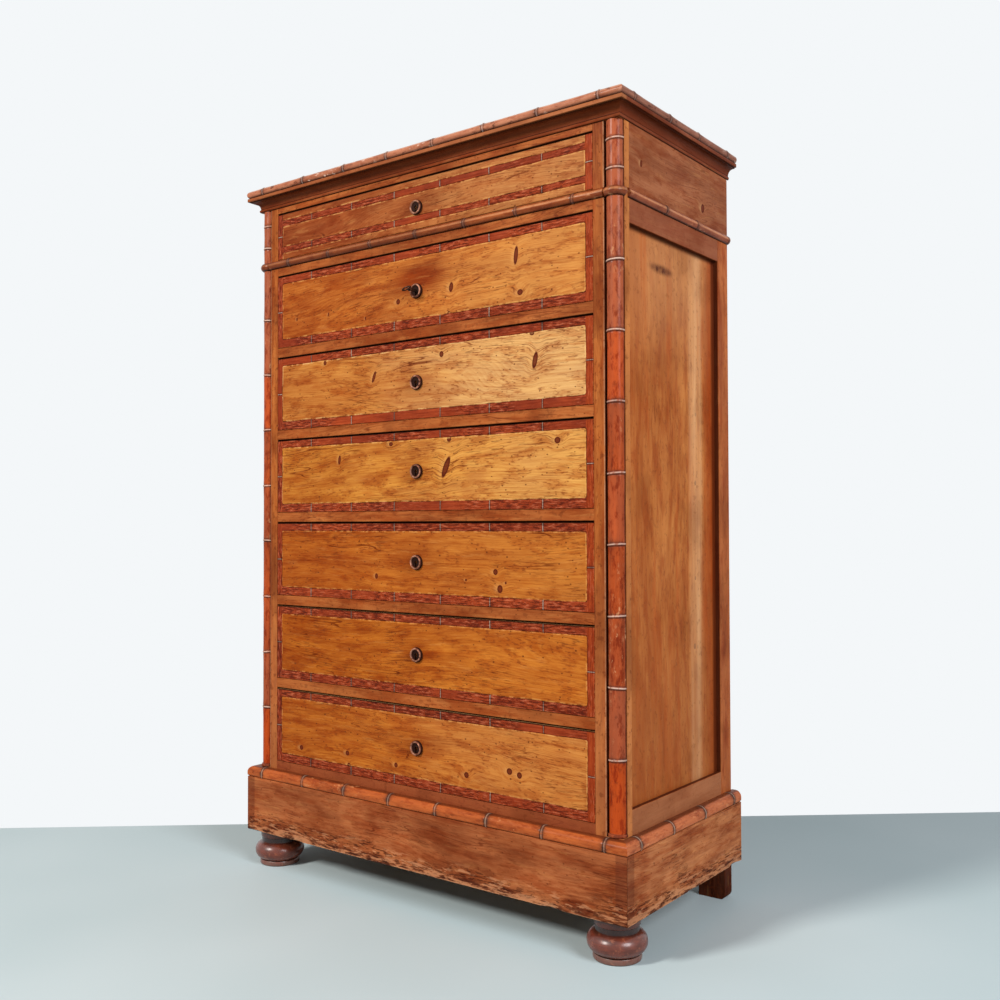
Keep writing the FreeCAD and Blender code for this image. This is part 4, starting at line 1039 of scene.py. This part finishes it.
def column(side, sign, material):
    """A long shaft with a thick ring at its foot, and a short one over the waist. Its round is flat at the
    back, where it lies in the post."""
    flat, snug, wave, tuck, ring_top = 0.0025, 0.0002, 0.0009, 0.0005, 0.215
    edge = math.degrees(math.asin(flat / COLUMN_RADIUS))
    section = arc((0.0, 0.0), COLUMN_RADIUS, -180 - edge, edge, 40)
    normals = facing(section, lambda p: p[1] > flat - 1e-5)
    section = [(u + nu * snug, v + nv * snug) for (u, v), (nu, nv) in zip(section, normals)]
    loft = Loft()

    def place(s, u, v, end=0):
        return Vector((sign * (COLUMN.x + u), COLUMN.y + v, s))

    long_nodes = [COLUMN_NODE + COLUMN_PITCH * i for i in range(8)]
    short_nodes = [1.337, 1.387]
    bamboo_run(loft, section, normals, place, ring_top, WAIST_LOW + tuck, long_nodes, sign * 2.0, wave)
    bamboo_run(loft, section, normals, place, WAIST_HIGH - tuck, CORNICE_LOW - snug, short_nodes, sign * 3.0,
               wave)
    base, base_marks = [], []
    for up, out in ((0.0, 0.0), (0.3, 1.4), (1.2, 2.4), (3.0, 2.7), (4.8, 2.4), (5.7, 1.4), (6.0, 0.2)):
        base.append([place(COLUMN_LOW + up * MM, u + nu * out * MM, v + nv * out * MM)
                     for (u, v), (nu, nv) in zip(section, normals)])
        base_marks.append({"near": 0.8, "line": 1.0 if out < 1.0 else 0.0})
    loft.add(base, base_marks)
    loft.object(f"column_{side}", f"corner_column_{side}", material)


column_bamboo = bamboo("column_bamboo", "zxy", (186, 80, 32), (112, 40, 16), BAMBOO_PALE, 1.1, 0.5, 0.85,
                       column_tone, roughness=0.3, coat=0.1, grime_and_shade=0.4, crest_colour=(232, 204, 184),
                       mottled=0.8, flecked=0.3)
for side, sign in SIDES:
    column(side, sign, column_bamboo)


# Waist moulding: a half-round that swells round the columns and ends in a ball.

def waist_light_and_shade(shader, colour):
    """Painted shade along both edges of the waist moulding and towards its left, and a painted highlight
    along its crown, weaker to the left.
    """
    up = shader.z - WAIST_LOW
    # Painted shade where the round meets the boards above and below.
    edges = up.step(0.0146, 0.0164) | up.step(0.0024, 0.0006)
    # Painted shade towards the left of the front.
    left = shader.x.step(0.3, -0.1)
    return (colour.coat(left * 0.6, (96, 42, 20))
            .coat((up - 0.0102).line(0.003) * (0.45 - left * 0.25), (222, 150, 98))
            .coat(edges * 0.9, (38, 12, 6)))


def waist(material_x, material_y):
    """The length between the columns, a collar round each column, and the lengths at the sides with their
    balls."""
    tall = WAIST_HIGH - WAIST_LOW
    proud, hidden, wave, wall = 0.0075, -0.001, 0.001, -0.1762
    limit = COLUMN.x - COLUMN_RADIUS + 0.0003
    ball_radius, ball_middle, ball_flat = 0.009, BACK - 0.0057, HALF - 0.0005
    radius, turn = lens(tall, proud)
    section = [(hidden, 0.0)] + arc((proud - radius, tall / 2), radius, -turn, turn, 12) + [(hidden, tall)]
    normals = facing(section, lambda p: p[0] < 1e-5)

    def front_place(s, u, v, end):
        return Vector((s, FRONT - u, WAIST_LOW + v))

    nodes = [0.0] + mirrored(121, 242, 363)
    front = Loft()
    bamboo_run(front, section, normals, front_place, -limit, limit, nodes, 4.0, wave)
    front.object("waist_front", "waist_moulding", material_x)
    sides = Loft()
    for sign in (1, -1):
        def side_place(s, u, v, end, sign=sign):
            return Vector((sign * (HALF + u), s, WAIST_LOW + v))

        bamboo_run(sides, section, normals, side_place, COLUMN.y + 0.012, BACK - 0.0005,
                   [y * MM for y in (-36, 85)], 5.0 + sign, wave)
        collar = []
        for a in [math.radians(degrees) for degrees in range(-200, 25, 8)]:
            reach = [(COLUMN_RADIUS + max(u, -0.0005), v) for u, v in section]
            collar.append([Vector((sign * (COLUMN.x + r * math.cos(a)), min(COLUMN.y + r * math.sin(a), wall),
                                   WAIST_LOW + v)) for r, v in reach])
        sides.add(collar, [{"near": 0.5}] * len(collar))
        ball = []
        for r, up in arc((0.0, 0.0), ball_radius, -88, 88, 12):
            turns = [math.tau * j / 24 for j in range(24)]
            ball.append([Vector((sign * max(ball_flat, HALF + hidden + r * math.cos(a)),
                                 ball_middle + r * math.sin(a), WAIST_LOW + tall / 2 + up)) for a in turns])
        sides.add(ball, [{"near": 1.0, "line": 0.5}] * len(ball))
    sides.object("waist_sides", "waist_moulding", material_y)


waist_bamboo = bamboo("waist_bamboo", "xyz", (168, 88, 42), (104, 44, 20), BAMBOO_PALE, 7.5, 0.3, 0.05,
                      waist_light_and_shade, roughness=0.26, coat=0.18, flecked=0.3)
waist_side_bamboo = bamboo("waist_side_bamboo", "yxz", (160, 84, 50), (108, 48, 26), BAMBOO_PALE, 8.5, 0.3,
                           0.05, waist_light_and_shade, roughness=0.28, coat=0.2, flecked=0.2)
waist(waist_bamboo, waist_side_bamboo)


# Feet.

SOLE_BEAD = 0.0112


def foot_wood():
    """Dark glossy turned wood: dust on the sole's bead, and painted shade on the collar under the plinth,
    in the neck, in the groove over the bead and along the floor.
    """
    shader = Shader("turned_foot")
    z = shader.z
    streaks = shader.noise(shader.x * 60, shader.y * 60, z * 420, 3.0, 0.6)
    cloud = shader.clouds(40.0, 3.0, 0.6)
    worn = shader.clouds(120.0, 3.0, 0.7)
    # Painted shade in the groove over the bead and along the floor.
    groove = (z - 0.0113).line(0.0014) | z.step(0.0022, 0.0006)
    colour = (shader.mix(streaks * 0.4 + cloud * 0.6, (122, 56, 38), (70, 28, 18))
              .coat(worn.step(0.74, 0.95) * 0.3, (180, 108, 74))
              # Painted shade on the collar under the plinth and in the neck.
              .coat(z.step(0.0585, 0.0595) * 0.7, (48, 20, 14))
              .coat(z.step(0.044, 0.05) * z.step(0.0592, 0.0575) * 0.9, (22, 8, 6))
              .coat(shader.mark("dust") * (cloud * 0.7 + 0.3) * 0.6, (128, 104, 92))
              .coat(groove * 0.85, (20, 9, 7)))
    return shader.finish(colour, cloud * 0.14 + 0.24, streaks, 0.0001, 0.35, specular=0.4)


def bun_feet(material):
    """Each foot is a profile of (radius, height) turned round its axis: bead, belly, neck, collar, spigot."""
    x, y = 0.426, -0.16175
    widest, belly_middle = 0.052, 0.0295
    radius, turn = lens(0.037, 0.014)
    belly = arc((widest - radius, belly_middle), radius, -turn, turn, 28)[2:-1]
    profile = [(0.0, 0.0), (0.0395, 0.0), (0.0412, 0.0006), (0.042, 0.002), (0.042, 0.0088), (0.0413, 0.0102),
               (0.0395, 0.011)] + belly
    profile += [(0.038, 0.0485), (0.038, 0.0575), (0.0392, 0.0582), (0.0399, 0.0592), (0.04, 0.061),
                (0.04, 0.0718), (0.0394, 0.073), (0.012, 0.073), (0.012, 0.097), (0.0, 0.097)]
    turns = [math.tau * j / 72 for j in range(72)]
    marks = [{"dust": 1.0 if z < SOLE_BEAD else 0.0} for r, z in profile]
    for side, sign in SIDES:
        foot = Loft(("dust",))
        foot.add([[Vector((sign * x + r * math.cos(a), y + r * math.sin(a), z)) for a in turns]
                  for r, z in profile], marks)
        foot.object(f"bun_foot_{side}", "bun_feet", material)


bun_feet(foot_wood())


# Drawers. Knots are (along, up from the lower edge, half width, half height, lean).

# pale is each face's colour for the painted light towards its right, and the tint of its worn edges.
FACES = {
    1: dict(light=(170, 96, 50), dark=(124, 60, 32), pale=(208, 148, 86), spacing=0.0036, scratched=0.4),
    2: dict(light=(198, 120, 50), dark=(156, 78, 30), pale=(218, 158, 84), spacing=0.004,
            smudge=(0.026, 0.11, 0.045, 0.9),
            knots=((-0.0491, 0.0565, 0.0046, 0.005, 0.0), (0.0866, 0.067, 0.0046, 0.0085, 0.1),
                   (0.2388, 0.1037, 0.0042, 0.0155, 0.1), (0.2478, 0.0356, 0.0056, 0.005, 0.0),
                   (0.0811, 0.0188, 0.0032, 0.0034, 0.0), (-0.2456, 0.0555, 0.002, 0.0038, 0.3),
                   (-0.3416, 0.0567, 0.002, 0.0036, 0.0), (-0.1386, 0.0347, 0.0018, 0.003, 0.0))),
    3: dict(light=(208, 142, 68), dark=(176, 104, 46), pale=(236, 198, 134), spacing=0.0044, scratched=0.45,
            knots=((-0.1146, 0.0911, 0.0037, 0.0103, 0.35), (0.0626, 0.1197, 0.0047, 0.0053, 0.0),
                   (-0.2555, 0.1325, 0.0041, 0.0044, 0.0), (0.2803, 0.0874, 0.005, 0.0138, 0.2),
                   (0.2739, 0.1363, 0.0047, 0.0038, 0.0))),
    4: dict(light=(218, 152, 64), dark=(176, 102, 38), pale=(224, 172, 98), spacing=0.0042,
            knots=((-0.2124, 0.106, 0.0035, 0.0087, 0.1), (0.0734, 0.0818, 0.0066, 0.0183, 0.4),
                   (-0.0683, 0.1321, 0.0047, 0.0041, 0.0), (0.0809, 0.1345, 0.0047, 0.005, 0.0),
                   (0.3278, 0.1202, 0.0059, 0.0053, 0.0))),
    5: dict(light=(196, 116, 42), dark=(158, 78, 26), pale=(202, 132, 58), spacing=0.005, scratched=0.8,
            knots=((-0.1076, 0.0485, 0.0037, 0.005, 0.0), (0.1907, 0.0641, 0.0047, 0.005, 0.0),
                   (0.1216, 0.0474, 0.0022, 0.0022, 0.0), (0.2139, 0.0448, 0.002, 0.0022, 0.0),
                   (0.2009, 0.0335, 0.0056, 0.0067, 0.0))),
    6: dict(light=(204, 124, 42), dark=(150, 70, 18), pale=(200, 122, 48), spacing=0.0055, scratched=0.8),
    7: dict(light=(200, 120, 42), dark=(162, 84, 28), pale=(208, 142, 76), spacing=0.0046,
            knots=((-0.3253, 0.0367, 0.0047, 0.0046, 0.0), (-0.1887, 0.0427, 0.0047, 0.0046, 0.0),
                   (-0.1843, 0.0191, 0.0041, 0.0044, 0.0), (-0.0551, 0.0365, 0.0041, 0.0044, 0.0),
                   (0.1219, 0.0421, 0.005, 0.005, 0.0), (0.2213, 0.0623, 0.0056, 0.0055, 0.0),
                   (0.2435, 0.0583, 0.005, 0.0053, 0.0))),
}


def boss_metal(row):
    """Dark brass with dirt on the floor of its dish and round its edge, worn on the crest of its rim."""
    def tone(shader, colour):
        radius = length(shader.x, shader.z - BOSS_MIDDLE[row])
        rubbed = shader.clouds(160.0) * 0.8 - 0.05
        dirty = radius.step(0.0108, 0.0088) | radius.step(0.0136, 0.0146)
        return (colour.coat((radius - 0.0118).line(0.0024) * rubbed, (206, 146, 118))
                .coat(dirty * 0.9, (26, 11, 7)))

    return metal(f"boss_metal_{row}", (104, 52, 36), (52, 24, 16), 0.42, (150, 92, 68), 0.15, tone)


WIDEST_CELL = 0.009
TALLEST_CELL = 0.007
NARROWEST_CELL = 0.00012


def thickened(special, low, high, step):
    """Grid lines: the special ones, and more between them where they lie far apart."""
    lines = sorted({round(v, 6) for v in special if low < v < high} | {low, high})
    made = [lines[0]]
    for value in lines[1:]:
        gap = value - made[-1]
        if gap < NARROWEST_CELL:
            continue
        more = int(gap // step)
        start = made[-1]
        made.extend(start + gap * (i + 1) / (more + 1) for i in range(more))
        made.append(value)
    return made


def front_relief(row, x, up):
    """Height of the face here: the border is slightly round, and scribed at its edges and nodes."""
    height = FRONT_HEIGHT[row]
    side = abs(x) - (DRAWER_HALF - SIDE_BAND)
    if row == 1:
        span = NARROW_BAND / 2
        lower, upper = up - NARROW_INSET - span, up - height + NARROW_INSET + span
        inside = max(side, span - min(abs(lower), abs(upper)))
    else:
        span = 0.008
        middle, reach = field_span(row)
        inside = max(side, abs(up - middle) - reach)
    groove = -0.00045 * pulse(inside, 0.0011)
    if inside <= 0:
        return groove
    crown = 0.0005 * math.sin(math.pi / 2 * min(1.0, inside / span))
    node = abs(up - height / 2) if side > 0 else abs(abs(x / NODE_STEP) % 1.0 - 0.5) * NODE_STEP
    ring = 0.0003 * pulse(node, 0.0012) - 0.0004 * pulse(node - 0.002, 0.0011)
    return groove + crown + ring


def front_grid(row):
    """Grid lines of a face: close together at its edges, its border's edges and nodes, and the boss."""
    def near(places, millimetres):
        return [place + side * d * MM for place in places for d in millimetres for side in (-1, 1)]

    height = FRONT_HEIGHT[row]
    rim = (0, 0.16, 0.6, ARRIS / MM, 2.5, 4, 7)
    boss = (0, 2.5, 5, 7.5, 10, 12.5)
    inner = DRAWER_HALF - SIDE_BAND
    nodes = [(i + 0.5) * NODE_STEP for i in range(4)]
    special = near([DRAWER_HALF], rim) + near([inner], (0, 0.5, 1.1, 2)) + [inner + 4 * MM, inner + 7 * MM]
    special += near(nodes, (0, 0.5, 1, 1.5, 2, 2.5, 3.2)) + near([0.0], boss)
    xs = thickened(special + [-x for x in special], -DRAWER_HALF, DRAWER_HALF, WIDEST_CELL)
    borders = (LOW_BAND, height - HIGH_BAND)
    if row == 1:
        borders = (NARROW_INSET, NARROW_INSET + NARROW_BAND, height - NARROW_INSET - NARROW_BAND,
                   height - NARROW_INSET)
    special = near([0.0, height], rim) + near(borders, (0, 0.5, 1.1, 2, 4))
    special += near([height / 2], (0, 0.5, 1, 2, 3)) + near([BOSS_MIDDLE[row] - FRONT_LOW[row]], boss)
    return xs, thickened(special, 0.0, height, TALLEST_CELL)


def front_face(row):
    """The face as a fine grid, joined to the solid's own back, ends and dovetails."""
    low, height = FRONT_LOW[row], FRONT_HEIGHT[row]
    hole_radius = 0.0095
    xs, zs = front_grid(row)
    points = []
    for up in zs:
        for x in xs:
            ax = max(0.0, ARRIS - (DRAWER_HALF - abs(x)))
            az = max(0.0, ARRIS - min(up, height - up))
            drop = ARRIS - math.sqrt(max(0.0, ARRIS ** 2 - ax ** 2 - az ** 2))
            relief = front_relief(row, x, up) + 0.0001 * noise.noise(Vector((x * 22, up * 22, row)))
            if ax or az:
                relief = min(relief, 0.0)
            points.append(Vector((x, FRONT + drop - relief, low + up)))
    faces = []
    wide = len(xs)
    for i in range(len(zs) - 1):
        for j in range(wide - 1):
            over_boss = (zs[i] + zs[i + 1]) / 2 + low - BOSS_MIDDLE[row]
            if math.hypot((xs[j] + xs[j + 1]) / 2, over_boss) > hole_radius:
                a = i * wide + j
                faces.append((a, a + 1, a + 1 + wide, a + wide))
    own = NODES[f"drawer_{row}_front"].data
    start = len(points)
    points += [v.co.copy() for v in own.vertices]
    shown = [tuple(start + v for v in p.vertices) for p in own.polygons if p.center.y > FRONT + 0.0013]
    places = [0] * len(faces) + [1] * len(shown)
    build(f"drawer_{row}_front_face", points, faces + shown, f"drawer_{row}_front", f"drawer_{row}",
          [front_wood(row, **FACES[row]), raw_wood], places=places)


lock_metal = metal("lock_metal", (120, 112, 104), (72, 62, 54), 0.45, (168, 160, 150), 0.9)
for row in ROWS:
    front_face(row)
    clothe(f"drawer_{row}_box", raw_deep)
    clothe(f"drawer_{row}_bottom", raw_wood)
    clothe(f"drawer_{row}_escutcheon", boss_metal(row))
    clothe(f"drawer_{row}_lock", lock_metal)
    clothe(f"drawer_{row}_bolt", lock_metal)
clothe("key", metal("iron", (92, 62, 50), (30, 18, 14), 0.24, (196, 160, 140), 0.85))


# Camera, floor and lights.

def stand(name, data, place, turn):
    """A camera or a lamp at its place."""
    made = bpy.data.objects.new(name, data)
    made.location = place
    made.rotation_mode = "QUATERNION"
    made.rotation_quaternion = turn
    bpy.context.scene.collection.objects.link(made)
    return made


def photographer():
    """The camera where the photograph was taken from, fitted to its vanishing lines."""
    data = bpy.data.cameras.new("camera")
    data.lens = 38.09
    data.sensor_width = 36
    heading, tilt, roll = [math.radians(a) for a in (37.22, 91.28, -0.14)]
    turn = Matrix.Rotation(heading, 4, "Z") @ Matrix.Rotation(tilt, 4, "X") @ Matrix.Rotation(roll, 4, "Z")
    bpy.context.scene.camera = stand("camera", data, (1.3636, -1.72165, 0.7338), turn.to_quaternion())


def floor():
    """A pale floor that ends where the photograph's wall stands."""
    along = Vector((0.7658, 0.6431, 0.0))
    away = Vector((-along.y, along.x, 0.0))
    left = Vector((-1.1608, -0.4022, 0.0)) - along * 6
    right = left + along * 14
    mesh = bpy.data.meshes.new("floor")
    mesh.from_pydata([left, right, right - away * 8, left - away * 8], [], [(0, 3, 2, 1)])
    shader = Shader("floor")
    colour = shader.mix(shader.clouds(1.4), (198, 213, 216), (188, 205, 208))
    mesh.materials.append(shader.finish(colour, 0.5))
    made = bpy.data.objects.new("floor", mesh)
    bpy.context.scene.collection.objects.link(made)


def studio():
    """White all round for the camera and in reflections, and softer as a light."""
    world = bpy.data.worlds.new("studio")
    bpy.context.scene.world = world
    world.use_nodes = True
    sky = Nodes(world.node_tree)
    soft = sky.node("ShaderNodeBackground", {0: paint((244, 247, 250)), 1: 0.22})
    seen = sky.node("ShaderNodeBackground", {0: paint((244, 247, 249)), 1: 1.0})
    rays = [sky.node("ShaderNodeLightPath", output=name) for name in ("Is Camera Ray", "Is Glossy Ray")]
    output = sky.tree.nodes.new("ShaderNodeOutputWorld")
    sky.put(output.inputs[0], sky.node("ShaderNodeMixShader", {0: highest(rays), 1: soft, 2: seen}))


def lamp(name, place, target, size, power, colour):
    data = bpy.data.lights.new(name, "AREA")
    data.shape = "DISK"
    data.size = size
    data.energy = power
    data.color = paint(colour)[:3]
    stand(name, data, place, (Vector(target) - Vector(place)).to_track_quat("-Z", "Y"))


photographer()
floor()
studio()
lamp("key_light", (-1.5, -4.6, 3.5), (0.0, 0.0, 0.75), 1.1, 272, (255, 250, 244))
lamp("fill_light", (3.8, -1.2, 2.4), (0.2, 0.0, 0.7), 2.0, 140, (250, 251, 255))
bpy.context.scene.view_settings.view_transform = "Standard"
